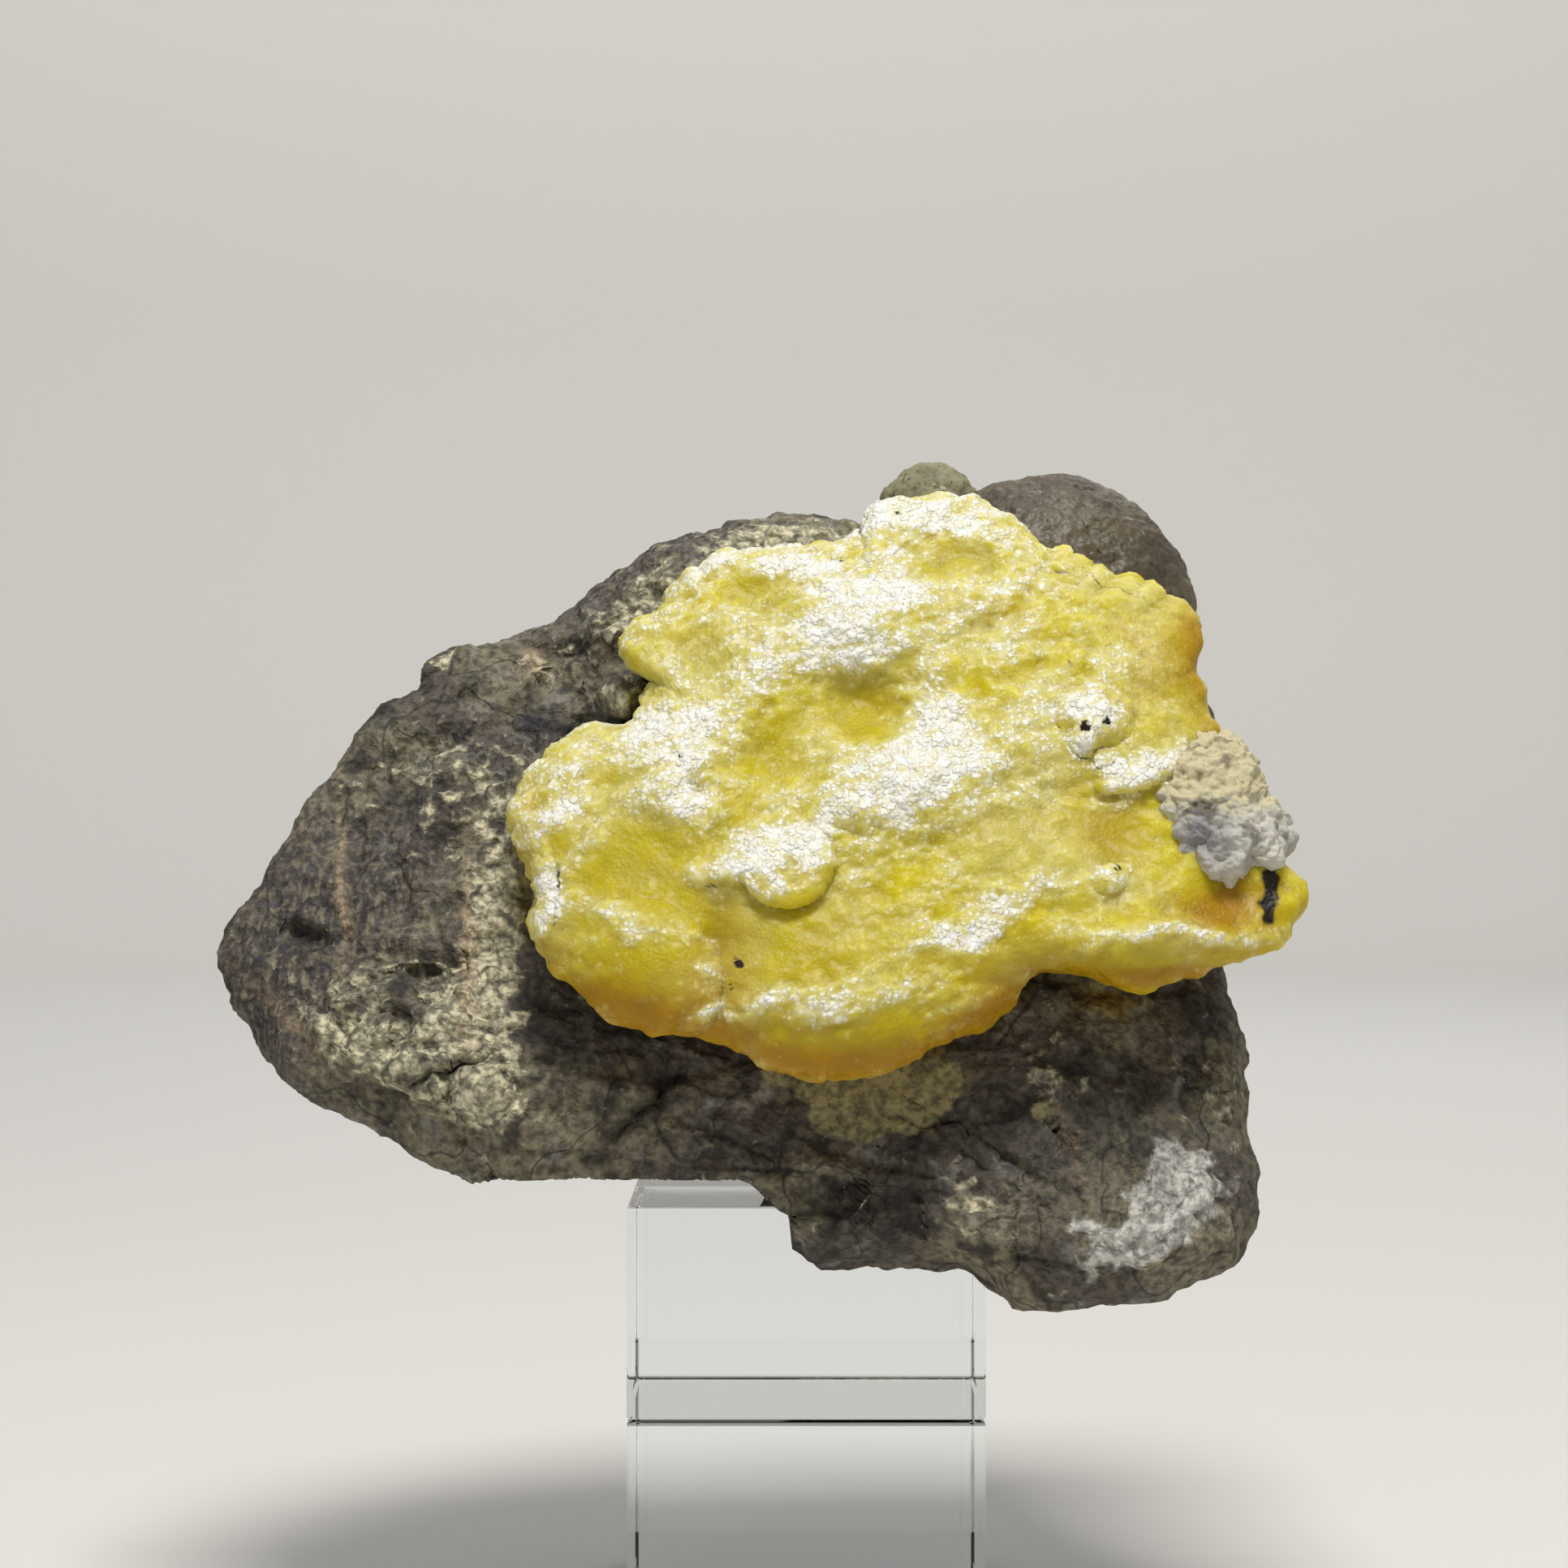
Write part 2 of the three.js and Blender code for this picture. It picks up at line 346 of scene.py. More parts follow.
@dataclass
class Lump:
    """A ball pressed flat, whose rim fills an outline on a leaning plane.

    Its front and back stand before and behind that plane. A squareness of 2 gives them an
    elliptical section, and more gives a boxier one. The ripple roughens its rim.
    """

    RIPPLE_FADE = 6
    RIPPLE_OCTAVES = 3

    name: str
    points: Corners
    centre: tuple[float, float]
    rim_y: float
    rim_z: float
    lean: float
    front: float
    back: float
    squareness: float
    swells: tuple[Spot, ...] = ()
    back_swells: tuple[Spot, ...] = ()
    cuts: int = 126
    crowding: float = 0.3
    ripple: float = 0.4
    ripple_length: float = 4.5

    def __post_init__(self) -> None:
        """Prepare the outline's distances."""
        self.outline = Outline(self.points, self.centre)

    def direction(self, corner: Vector) -> Vector:
        """Turn a place on the cube's grid into a direction, with more of them at the front.

        Args:
            corner: The place on a cube from -1 to 1.

        Returns:
            The direction from the lump's middle.
        """
        quarter = math.pi / 4.0
        way = Vector([math.tan(value * quarter) for value in corner]).normalized()
        way.y -= self.crowding
        return way.normalized()

    def place(self, way: Vector) -> tuple[Vector, float]:
        """Find the lump's plain surface in a direction.

        Args:
            way: The direction from the middle.

        Returns:
            The place in millimetres, and how near the rim it is, from 0 to 1.
        """
        angle = math.atan2(way.z, way.x)
        across = math.hypot(way.x, way.z)
        along = abs(way.y)
        power = self.squareness
        size = (across**power + along**power) ** (1.0 / power)
        out = across / size
        edge = self.outline.reach(angle, out)
        around = Vector((math.cos(angle), math.sin(angle), 0.0)) * edge
        teeth = grit(around, self.ripple_length, self.RIPPLE_OCTAVES)
        reach = edge * out + self.ripple * out**self.RIPPLE_FADE * teeth
        x = self.centre[0] + reach * math.cos(angle)
        z = self.centre[1] + reach * math.sin(angle)
        stand = along / size
        rim = self.rim_y + self.lean * (z - self.rim_z)
        if way.y < 0.0:
            depth = -(self.front + total(self.swells, x, z))
        else:
            depth = self.back + total(self.back_swells, x, z)
        return Vector((x, rim + depth * stand, z)), out

    def detail(self, point: Vector, normal: Vector, out: float) -> Vector:
        """Move a place of the plain surface to its place on the real one."""
        return point

    def paint(self, point: Vector, normal: Vector, out: float) -> dict[str, float]:
        """Return the masks that the finish reads at a place."""
        return {}

    def build(self, finish: bpy.types.Material) -> bpy.types.Object:
        """Make the lump's mesh, carve it, paint its masks and dress it.

        Args:
            finish: The material of the whole piece.

        Returns:
            The finished object, in metres.
        """
        mesh_maker = bmesh.new()
        bmesh.ops.create_cube(mesh_maker, size=2.0)
        bmesh.ops.subdivide_edges(
            mesh_maker, edges=mesh_maker.edges[:], cuts=self.cuts, use_grid_fill=True
        )
        outs = []
        for vert in mesh_maker.verts:
            vert.co, out = self.place(self.direction(vert.co))
            outs.append(out)
        mesh_maker.normal_update()
        normals = [vert.normal.copy() for vert in mesh_maker.verts]
        for vert, normal, out in zip(mesh_maker.verts, normals, outs):
            vert.co = self.detail(vert.co, normal, out)
        mesh_maker.normal_update()
        masks = [self.paint(vert.co, vert.normal, out) for vert, out in zip(mesh_maker.verts, outs)]
        for mask in masks[0]:
            layer = mesh_maker.verts.layers.float.new(mask)
            for vert, values in zip(mesh_maker.verts, masks):
                vert[layer] = clamp(values[mask])
        for face in mesh_maker.faces:
            face.smooth = True
        bmesh.ops.scale(mesh_maker, vec=(MM, MM, MM), verts=mesh_maker.verts)
        return finished(mesh_maker, self.name, finish)


def finished(
    mesh_maker: bmesh.types.BMesh, name: str, finish: bpy.types.Material
) -> bpy.types.Object:
    """Turn a bmesh into a linked object with one material.

    Args:
        mesh_maker: The bmesh, which is freed.
        name: The object's and the mesh's name.
        finish: The material.

    Returns:
        The new object at the origin.
    """
    mesh = bpy.data.meshes.new(name)
    mesh_maker.to_mesh(mesh)
    mesh_maker.free()
    mesh.materials.append(finish)
    piece = bpy.data.objects.new(name, mesh)
    bpy.context.scene.collection.objects.link(piece)
    return piece


# The sockets of a colour mix, which share their names with its number sockets
MIX_FACTOR = 0
MIX_FIRST = 6
MIX_SECOND = 7
MIX_COLOUR = 2

COLOURS = {"data_type": "RGBA"}
SMOOTH = {"interpolation_type": "SMOOTHSTEP"}


@dataclass(frozen=True)
class Ramp:
    """A smooth passage from one value to another, while a pattern passes between its own two."""

    start: float
    end: float
    low: float = 0.0
    high: float = 1.0

    def inputs(self, pattern: Socket) -> dict[str | int, SocketValue]:
        """Return what a range node reads to turn a pattern into the passage."""
        ends = {"From Min": self.start, "From Max": self.end}
        return {"Value": pattern, "To Min": self.low, "To Max": self.high} | ends


@dataclass(frozen=True)
class Waves:
    """Fractal noise of a real size."""

    size_mm: float
    octaves: float

    def inputs(self, place: Socket) -> dict[str | int, SocketValue]:
        """Return what a noise node reads to draw the waves at some coordinates."""
        return {"Vector": place, "Scale": per_metre(self.size_mm), "Detail": self.octaves}


@dataclass(frozen=True)
class Cells:
    """Grains of a real size, packed side by side."""

    size_mm: float

    def inputs(self, place: Socket) -> dict[str | int, SocketValue]:
        """Return what a cell node reads to draw the grains at some coordinates."""
        return {"Vector": place, "Scale": per_metre(self.size_mm)}


@dataclass
class Finish:
    """A material under construction, with the few effects that every stone needs."""

    name: str
    tree: bpy.types.NodeTree = field(init=False)
    material: bpy.types.Material = field(init=False)
    place: Socket = field(init=False)

    def __post_init__(self) -> None:
        """Start an empty node material with Object coordinates."""
        self.material = bpy.data.materials.new(self.name)
        self.material.use_nodes = True
        self.tree = self.material.node_tree
        self.tree.nodes.clear()
        self.place = self.node("TexCoord", {}, "Object")

    def node(
        self,
        kind: str,
        inputs: dict[str | int, SocketValue],
        output: str | int = 0,
        **settings: object,
    ) -> Socket:
        """Add a node with its settings, values and links.

        Args:
            kind: The node's type, without its ShaderNode prefix.
            inputs: A value, or a socket to link from, for each input's name or number.
            output: The name or number of the output wanted.
            **settings: The node's own properties.

        Returns:
            The output.
        """
        node = self.tree.nodes.new(f"ShaderNode{kind}")
        for name, value in settings.items():
            setattr(node, name, value)
        for key, value in inputs.items():
            if isinstance(value, Socket):
                self.tree.links.new(value, node.inputs[key])
            else:
                node.inputs[key].default_value = value
        return node.outputs[output]

    def wandering(self, waves: Waves, reach_mm: float) -> Socket:
        """Return coordinates that wander, so that a pattern read there loses its regularity.

        Args:
            waves: The noise that they follow.
            reach_mm: How far it pushes them.

        Returns:
            The coordinates.
        """
        drift = self.node("TexNoise", waves.inputs(self.place), "Color")
        inputs = {0: drift, 1: (2.0 * reach_mm * MM,) * 3, 2: self.place}
        return self.node("VectorMath", inputs, operation="MULTIPLY_ADD")

    def lay(self, under: SocketValue, pattern: Socket, ramp: Ramp, colour: str) -> Socket:
        """Lay a colour over another where a pattern passes up a ramp.

        Args:
            under: The colour below.
            pattern: What decides where the colour lies.
            ramp: How much of it shows at each of the pattern's values.
            colour: The colour on top, as an sRGB hex code.

        Returns:
            The colour of the two together.
        """
        amount = self.node("MapRange", ramp.inputs(pattern), **SMOOTH)
        inputs = {MIX_FACTOR: amount, MIX_FIRST: under, MIX_SECOND: linear_colour(colour)}
        return self.node("Mix", inputs, MIX_COLOUR, **COLOURS)

    def spread(self, under: SocketValue, mask: str, colour: str) -> Socket:
        """Lay a colour over another as thickly as one of the mesh's masks says.

        Args:
            under: The colour below.
            mask: The mask's name.
            colour: The colour on top, as an sRGB hex code.

        Returns:
            The colour of the two together.
        """
        amount = self.node("Attribute", {}, "Fac", attribute_name=mask)
        inputs = {MIX_FACTOR: amount, MIX_FIRST: under, MIX_SECOND: linear_colour(colour)}
        return self.node("Mix", inputs, MIX_COLOUR, **COLOURS)

    def shade(self, inputs: dict[str | int, SocketValue]) -> bpy.types.Material:
        """Finish the material with its shader.

        Args:
            inputs: The shader's values and links by socket name.

        Returns:
            The material.
        """
        shader = self.node("BsdfPrincipled", inputs)
        surface = self.tree.nodes.new("ShaderNodeOutputMaterial")
        self.tree.links.new(shader, surface.inputs["Surface"])
        return self.material


@dataclass(frozen=True)
class WaxyBrucite:
    """Botryoidal brucite: a soft, waxy hydroxide that lets light into its first millimetres.

    The eye sees a lemon body that deepens to orange-gold in thin edges, sown with white drusy
    grains. Their white carries a painted highlight, thickest wherever the crust faces up, and
    painted shade deepens the body towards the bottom and on faces that turn down.
    """

    lemon: str = "#D3C412"
    # The deep colour is random veils and clear windows, and painted shade on faces that turn down
    deep: str = "#AC9A09"
    milky: str = "#D6CC68"
    # The orange-gold is the thin edges' deeper hue, and painted shade towards the bottom
    amber_and_shade: str = "#AC8200"
    # Straw, primrose and the white are the grains' own white, with a painted highlight laid in
    straw: str = "#DBD28C"
    primrose: str = "#F1E9AE"
    frost_and_highlight: str = "#FAF9F2"
    dark: str = "#1D150B"
    clouds: Waves = Waves(14.0, 2.0)
    veils: Waves = Waves(3.5, 3.0)
    fine: Waves = Waves(1.8, 3.0)
    # Real grains are 0.3 to 1 mm; they are drawn at 0.7 and 1.1 mm, the smallest that show
    grains: Cells = Cells(1.1)
    seeds: Cells = Cells(0.7)
    wander: Waves = Waves(1.6, 1.0)
    wander_mm: float = 0.5
    crown: Ramp = Ramp(0.66, 0.2)
    presence: Ramp = Ramp(-0.02, 0.12)
    flurried: Ramp = Ramp(0.1, 0.5)
    milkiness: Ramp = Ramp(0.42, 0.68)
    veiled: Ramp = Ramp(0.35, 0.65, 0.0, 0.3)
    strawed: Ramp = Ramp(0.05, 0.7, 0.0, 0.85)
    frost_and_highlight_at: Ramp = Ramp(0.2, 0.75)
    dense_frost_and_highlight_at: Ramp = Ramp(0.62, 1.15)
    thickness: Ramp = Ramp(0.1, 0.8, 0.22, 0.9)
    specked: Ramp = Ramp(0.4, 0.8)
    blocked: Ramp = Ramp(0.4, 0.8, 0.0, 0.8)
    scattered: Ramp = Ramp(0.0, 0.7, 0.9, 0.05)
    roughened: Ramp = Ramp(0.0, 1.0, 0.5, 0.3)
    knobbed: Ramp = Ramp(0.75, 0.0, 0.0, 0.45)
    fine_share: float = 0.7
    relief_mm: float = 0.3
    relief_strength: float = 0.8
    depth_mm: float = 5.0

    def sown(self, finish: Finish, distance: Socket, crowd_and_highlight: Socket) -> Socket:
        """Sow round grains, as many as the crowding says.

        Args:
            finish: The material under construction.
            distance: How far each place is from the nearest grain's middle.
            crowd_and_highlight: The share of grains present, raised by the painted highlight, from
                0 to 1.

        Returns:
            1 on each grain's crown and 0 between the grains.
        """
        crown = finish.node("MapRange", self.crown.inputs(distance), **SMOOTH)
        lot = finish.node("SeparateColor", {0: distance.node.outputs["Color"]})
        left = finish.node("Math", {0: crowd_and_highlight, 1: lot}, operation="SUBTRACT")
        there = finish.node("MapRange", self.presence.inputs(left), **SMOOTH)
        return finish.node("Math", {0: crown, 1: there}, operation="MULTIPLY")

    def crowding_and_highlight(self, finish: Finish, fine: Socket) -> Socket:
        """Work out how thickly the grains and their painted highlight stand, in flurries where the
        white begins.

        Args:
            finish: The material under construction.
            fine: Fine fractal noise.

        Returns:
            The share of grains present, raised by the painted highlight.
        """
        frost_and_highlight = finish.node("Attribute", {}, "Fac", attribute_name="frost_and_highlight")
        centred = finish.node("Math", {0: fine, 1: 0.5}, operation="SUBTRACT")
        begun = finish.node("MapRange", self.flurried.inputs(frost_and_highlight), **SMOOTH)
        flurry = finish.node("Math", {0: centred, 1: begun}, operation="MULTIPLY")
        return finish.node("Math", {0: frost_and_highlight, 1: flurry}, operation="ADD")

    def body(self, finish: Finish) -> Socket:
        """Mix the crust's body colour, with painted shade towards the bottom and on faces that turn
        down, before any grains lie on it.

        Args:
            finish: The material under construction.

        Returns:
            The colour.
        """
        cloud = finish.node("TexNoise", self.clouds.inputs(finish.place))
        veil = finish.node("TexNoise", self.veils.inputs(finish.place))
        colour = finish.lay(linear_colour(self.lemon), cloud, self.milkiness, self.milky)
        colour = finish.lay(colour, veil, self.veiled, self.deep)
        # Painted shade: this mask deepens faces that turn down, besides the clear windows
        colour = finish.spread(colour, "clear", self.deep)
        # Painted shade: this mask darkens the lower parts, besides the thin edges' deeper hue
        return finish.spread(colour, "amber_and_shade", self.amber_and_shade)

    def make(self) -> bpy.types.Material:
        """Put the material together.

        Returns:
            The material.
        """
        finish = Finish("brucite_waxy_botryoidal")
        fine = finish.node("TexNoise", self.fine.inputs(finish.place))
        crowd_and_highlight = self.crowding_and_highlight(finish, fine)
        place = finish.wandering(self.wander, self.wander_mm)
        large = finish.node("TexVoronoi", self.grains.inputs(place))
        small = finish.node("TexVoronoi", self.seeds.inputs(place))
        both = {0: self.sown(finish, large, crowd_and_highlight), 1: self.sown(finish, small, crowd_and_highlight)}
        grains = finish.node("Math", both, operation="MAXIMUM")
        # Painted highlight: the grains' white is raised where the crust faces up
        cover = finish.node("MapRange", self.thickness.inputs(crowd_and_highlight), **SMOOTH)
        lit = finish.node("Math", {0: grains, 1: cover}, operation="MULTIPLY")
        dense_frost_and_highlight = finish.node("MapRange", self.dense_frost_and_highlight_at.inputs(crowd_and_highlight), **SMOOTH)
        white = finish.node("Math", {0: lit, 1: dense_frost_and_highlight}, operation="MAXIMUM")
        colour = finish.lay(self.body(finish), crowd_and_highlight, self.strawed, self.straw)
        frost_and_highlight_tint = finish.lay(linear_colour(self.primrose), crowd_and_highlight, self.frost_and_highlight_at, self.frost_and_highlight)
        frost_and_highlight_mix = {MIX_FACTOR: white, MIX_FIRST: colour, MIX_SECOND: frost_and_highlight_tint}
        colour = finish.node("Mix", frost_and_highlight_mix, MIX_COLOUR, **COLOURS)
        speck = finish.node("Attribute", {}, "Fac", attribute_name="speck")
        colour = finish.lay(colour, speck, self.specked, self.dark)
        blocked = finish.node("MapRange", self.blocked.inputs(speck), **SMOOTH)
        waxy = finish.node("MapRange", self.scattered.inputs(white), **SMOOTH)
        scattering = finish.node("Math", {0: waxy, 1: blocked}, operation="SUBTRACT")
        knobs = finish.node("MapRange", self.knobbed.inputs(small), **SMOOTH)
        crowns = finish.node("Math", {0: grains, 1: knobs}, operation="MAXIMUM")
        uneven = finish.node("Math", {0: fine, 1: self.fine_share}, operation="MULTIPLY")
        height = finish.node("Math", {0: crowns, 1: uneven}, operation="ADD")
        relief = {"Distance": self.relief_mm * MM, "Strength": self.relief_strength}
        return finish.shade(
            {
                "Base Color": colour,
                "Roughness": finish.node("MapRange", self.roughened.inputs(white), **SMOOTH),
                "IOR": 1.57,
                "Specular IOR Level": 0.22,
                "Normal": finish.node("Bump", {"Height": height} | relief),
                "Subsurface Weight": scattering,
                "Subsurface Radius": (0.9, 0.9, 0.2),
                "Subsurface Scale": self.depth_mm * MM,
                "Coat Weight": 0.1,
                "Coat Roughness": 0.2,
                "Coat IOR": 1.5,
            }
        )


@dataclass(frozen=True)
class HostRock:
    """Weathered serpentine-rich rock, broken by hand and never polished.

    The eye sees dull grey-brown with khaki and dark mottling, fibrous streaks, cream
    crusts on its ledges, hairline cracks and a few pale veins. Painted light is laid on top:
    shade in its cracks, hollows and crevices and under the crust, a yellow glow from the crust,
    and light on the pale ledge at the left and on the silvery foot.
    """

    brown: str = "#514A41"
    khaki: str = "#7C755F"
    # The dark is the rock's own mottling and hairlines, and painted shade in its cracks and hollows
    dark: str = "#221E1A"
    purple: str = "#494143"
    grey: str = "#78746B"
    # The cream is the rock's pale crust, with painted light on its left ledge where the top light
    # falls
    cream_and_light: str = "#D0C8A8"
    blue: str = "#1B1C26"
    # Painted glow: the yellow of light from the crust on the rock beside and below it
    crust_glow: str = "#8E7712"
    plate: str = "#857C56"
    # The silver is the foot's pale fibres, with painted light where the top light falls
    silver_and_light: str = "#C4C2BA"
    tan: str = "#B09A7C"
    broad: Waves = Waves(20.0, 3.0)
    middle: Waves = Waves(6.0, 4.0)
    fine: Waves = Waves(1.2, 2.0)
    hairlines: Waves = Waves(17.0, 2.0)
    crumble: Waves = Waves(2.6, 3.0)
    # Real fibres are finer than 0.3 mm; they are drawn at 0.9 mm, the smallest that show
    fibres: Waves = Waves(0.9, 2.0)
    fibre_stretch: tuple[float, float, float] = (1.0, 1.0, 0.13)
    # Real crumbs are about 1 mm; they are drawn at 1.7 mm, the smallest that stand apart
    crumbs: Cells = Cells(1.7)
    khaki_at: Ramp = Ramp(0.4, 0.6)
    grey_at: Ramp = Ramp(0.56, 0.7)
    hollow_at: Ramp = Ramp(0.47, 0.33, 0.0, 0.8)
    fibre_at: Ramp = Ramp(0.42, 0.64)
    hairline_at: Ramp = Ramp(0.012, 0.002, 0.0, 0.7)
    cream_and_light_at: Ramp = Ramp(0.3, 0.75)
    chink_shade_at: Ramp = Ramp(0.5, 0.8, 0.0, 0.75)
    plate_at: Ramp = Ramp(0.42, 0.55)
    silver_and_light_at: Ramp = Ramp(0.35, 0.65)
    speckled: Ramp = Ramp(0.3, 0.68, 0.45, 1.25)
    dome_at: Ramp = Ramp(0.8, 0.1)
    crumble_gain: float = 2.2
    silver_share: float = 0.5
    fine_share: float = 0.8
    relief_mm: float = 0.7
    relief_strength: float = 0.9

    def mottled(self, finish: Finish) -> Socket:
        """Mix the bare rock's colour: mottling, fibres and hairline cracks.

        Args:
            finish: The material under construction.

        Returns:
            The colour.
        """
        broad = finish.node("TexNoise", self.broad.inputs(finish.place))
        middle = finish.node("TexNoise", self.middle.inputs(finish.place))
        stretched = {0: finish.place, 1: self.fibre_stretch}
        along = finish.node("VectorMath", stretched, operation="MULTIPLY")
        fibres = finish.node("TexNoise", self.fibres.inputs(along))
        colour = finish.lay(linear_colour(self.brown), broad, self.khaki_at, self.khaki)
        colour = finish.lay(colour, middle, self.grey_at, self.grey)
        colour = finish.lay(colour, middle, self.hollow_at, self.dark)
        fibrous = finish.lay(linear_colour(self.purple), fibres, self.fibre_at, self.khaki)
        mask = finish.node("Attribute", {}, "Fac", attribute_name="fibre")
        threaded = {MIX_FACTOR: mask, MIX_FIRST: colour, MIX_SECOND: fibrous}
        colour = finish.node("Mix", threaded, MIX_COLOUR, **COLOURS)
        waves = finish.node("TexNoise", self.hairlines.inputs(finish.place))
        level = finish.node("Math", {0: waves, 1: 0.5}, operation="SUBTRACT")
        hairlines = finish.node("Math", {0: level}, operation="ABSOLUTE")
        return finish.lay(colour, hairlines, self.hairline_at, self.dark)

    def make(self) -> bpy.types.Material:
        """Put the material together.

        Returns:
            The material.
        """
        finish = Finish("host_rock_weathered")
        fine = finish.node("TexNoise", self.fine.inputs(finish.place))
        crumble = finish.node("TexNoise", self.crumble.inputs(finish.place))
        centred = finish.node("Math", {0: crumble, 1: 0.5}, operation="SUBTRACT")
        broken = finish.node("Math", {0: centred, 1: self.crumble_gain}, operation="MULTIPLY")
        # Cream crust, with painted light on the left ledge where the top light falls
        cream_and_light = finish.node("Attribute", {}, "Fac", attribute_name="cream_and_light")
        cream_and_light_edge = finish.node("Math", {0: cream_and_light, 1: broken}, operation="ADD")
        cream_and_light_cover = finish.node("MapRange", self.cream_and_light_at.inputs(cream_and_light_edge), **SMOOTH)
        colour = finish.lay(self.mottled(finish), cream_and_light_edge, self.cream_and_light_at, self.cream_and_light)
        crumb = finish.node("TexVoronoi", self.crumbs.inputs(finish.place))
        # Painted shade: the gaps between the crumbs are darkened
        gaps = finish.node("MapRange", self.chink_shade_at.inputs(crumb), **SMOOTH)
        chink_shade = finish.node("Math", {0: gaps, 1: cream_and_light_cover}, operation="MULTIPLY")
        dark = linear_colour(self.dark)
        chink_shaded = {MIX_FACTOR: chink_shade, MIX_FIRST: colour, MIX_SECOND: dark}
        colour = finish.node("Mix", chink_shaded, MIX_COLOUR, **COLOURS)
        plate = finish.node("Attribute", {}, "Fac", attribute_name="plate")
        colour = finish.lay(colour, plate, self.plate_at, self.plate)
        # Painted light: the jutting foot is pale and fibrous, and brighter where the top light
        # falls
        silver_and_light = finish.node("Attribute", {}, "Fac", attribute_name="silver_and_light")
        share = finish.node("Math", {0: broken, 1: self.silver_share}, operation="MULTIPLY")
        silver_and_light_edge = finish.node("Math", {0: silver_and_light, 1: share}, operation="ADD")
        colour = finish.lay(colour, silver_and_light_edge, self.silver_and_light_at, self.silver_and_light)
        colour = finish.spread(colour, "vein", self.tan)
        # Painted glow: yellow light from the crust, on the rock beside and below it
        colour = finish.spread(colour, "crust_glow", self.crust_glow)
        colour = finish.spread(colour, "blue", self.blue)
        # Painted shade: darker in the carved cracks and hollows, between crumbs and under the crust
        colour = finish.spread(colour, "dark", self.dark)
        shade = finish.node("MapRange", self.speckled.inputs(fine), **SMOOTH)
        shades = finish.node("CombineColor", {0: shade, 1: shade, 2: shade})
        whole = {MIX_FACTOR: 1.0, MIX_FIRST: colour, MIX_SECOND: shades}
        colour = finish.node("Mix", whole, MIX_COLOUR, blend_type="MULTIPLY", **COLOURS)
        rounded = finish.node("MapRange", self.dome_at.inputs(crumb), **SMOOTH)
        domes = finish.node("Math", {0: rounded, 1: cream_and_light_cover}, operation="MULTIPLY")
        grain = finish.node("Math", {0: fine, 1: self.fine_share}, operation="MULTIPLY")
        small = finish.node("Math", {0: grain, 1: domes}, operation="ADD")
        height = finish.node("Math", {0: broken, 1: small}, operation="ADD")
        relief = {"Distance": self.relief_mm * MM, "Strength": self.relief_strength}
        normal = finish.node("Bump", {"Height": height} | relief)
        return finish.shade({"Base Color": colour, "Roughness": 0.8, "IOR": 1.55, "Normal": normal})


@dataclass(frozen=True)
class ChalkyNodule:
    """A porous granular carbonate, as it grew: chalky grey-white, with tan grains on top."""

    pale: str = "#CFCCC0"
    tan: str = "#CEC49E"
    grey: str = "#AEABA2"
    lavender: str = "#77757F"
    dark: str = "#3A332A"
    patches: Waves = Waves(5.0, 3.0)
    fine: Waves = Waves(0.9, 3.0)
    grains: Cells = Cells(0.8)
    grey_at: Ramp = Ramp(0.4, 0.65)
    tan_at: Ramp = Ramp(0.2, 0.7)
    relief_mm: float = 0.25
    relief_strength: float = 0.8

    def make(self) -> bpy.types.Material:
        """Put the material together.

        Returns:
            The material.
        """
        finish = Finish("carbonate_granular")
        patches = finish.node("TexNoise", self.patches.inputs(finish.place))
        fine = finish.node("TexNoise", self.fine.inputs(finish.place))
        colour = finish.lay(linear_colour(self.pale), patches, self.grey_at, self.grey)
        tan = finish.node("Attribute", {}, "Fac", attribute_name="tan")
        centred = finish.node("Math", {0: fine, 1: 0.5}, operation="SUBTRACT")
        tan_edge = finish.node("Math", {0: tan, 1: centred}, operation="ADD")
        colour = finish.lay(colour, tan_edge, self.tan_at, self.tan)
        colour = finish.spread(colour, "lavender", self.lavender)
        colour = finish.spread(colour, "pit", self.dark)
        grains = finish.node("TexVoronoi", self.grains.inputs(finish.place))
        height = finish.node("Math", {0: fine, 1: grains}, operation="ADD")
        relief = {"Distance": self.relief_mm * MM, "Strength": self.relief_strength}
        normal = finish.node("Bump", {"Height": height} | relief)
        return finish.shade(
            {"Base Color": colour, "Roughness": 0.85, "IOR": 1.55, "Normal": normal}
        )


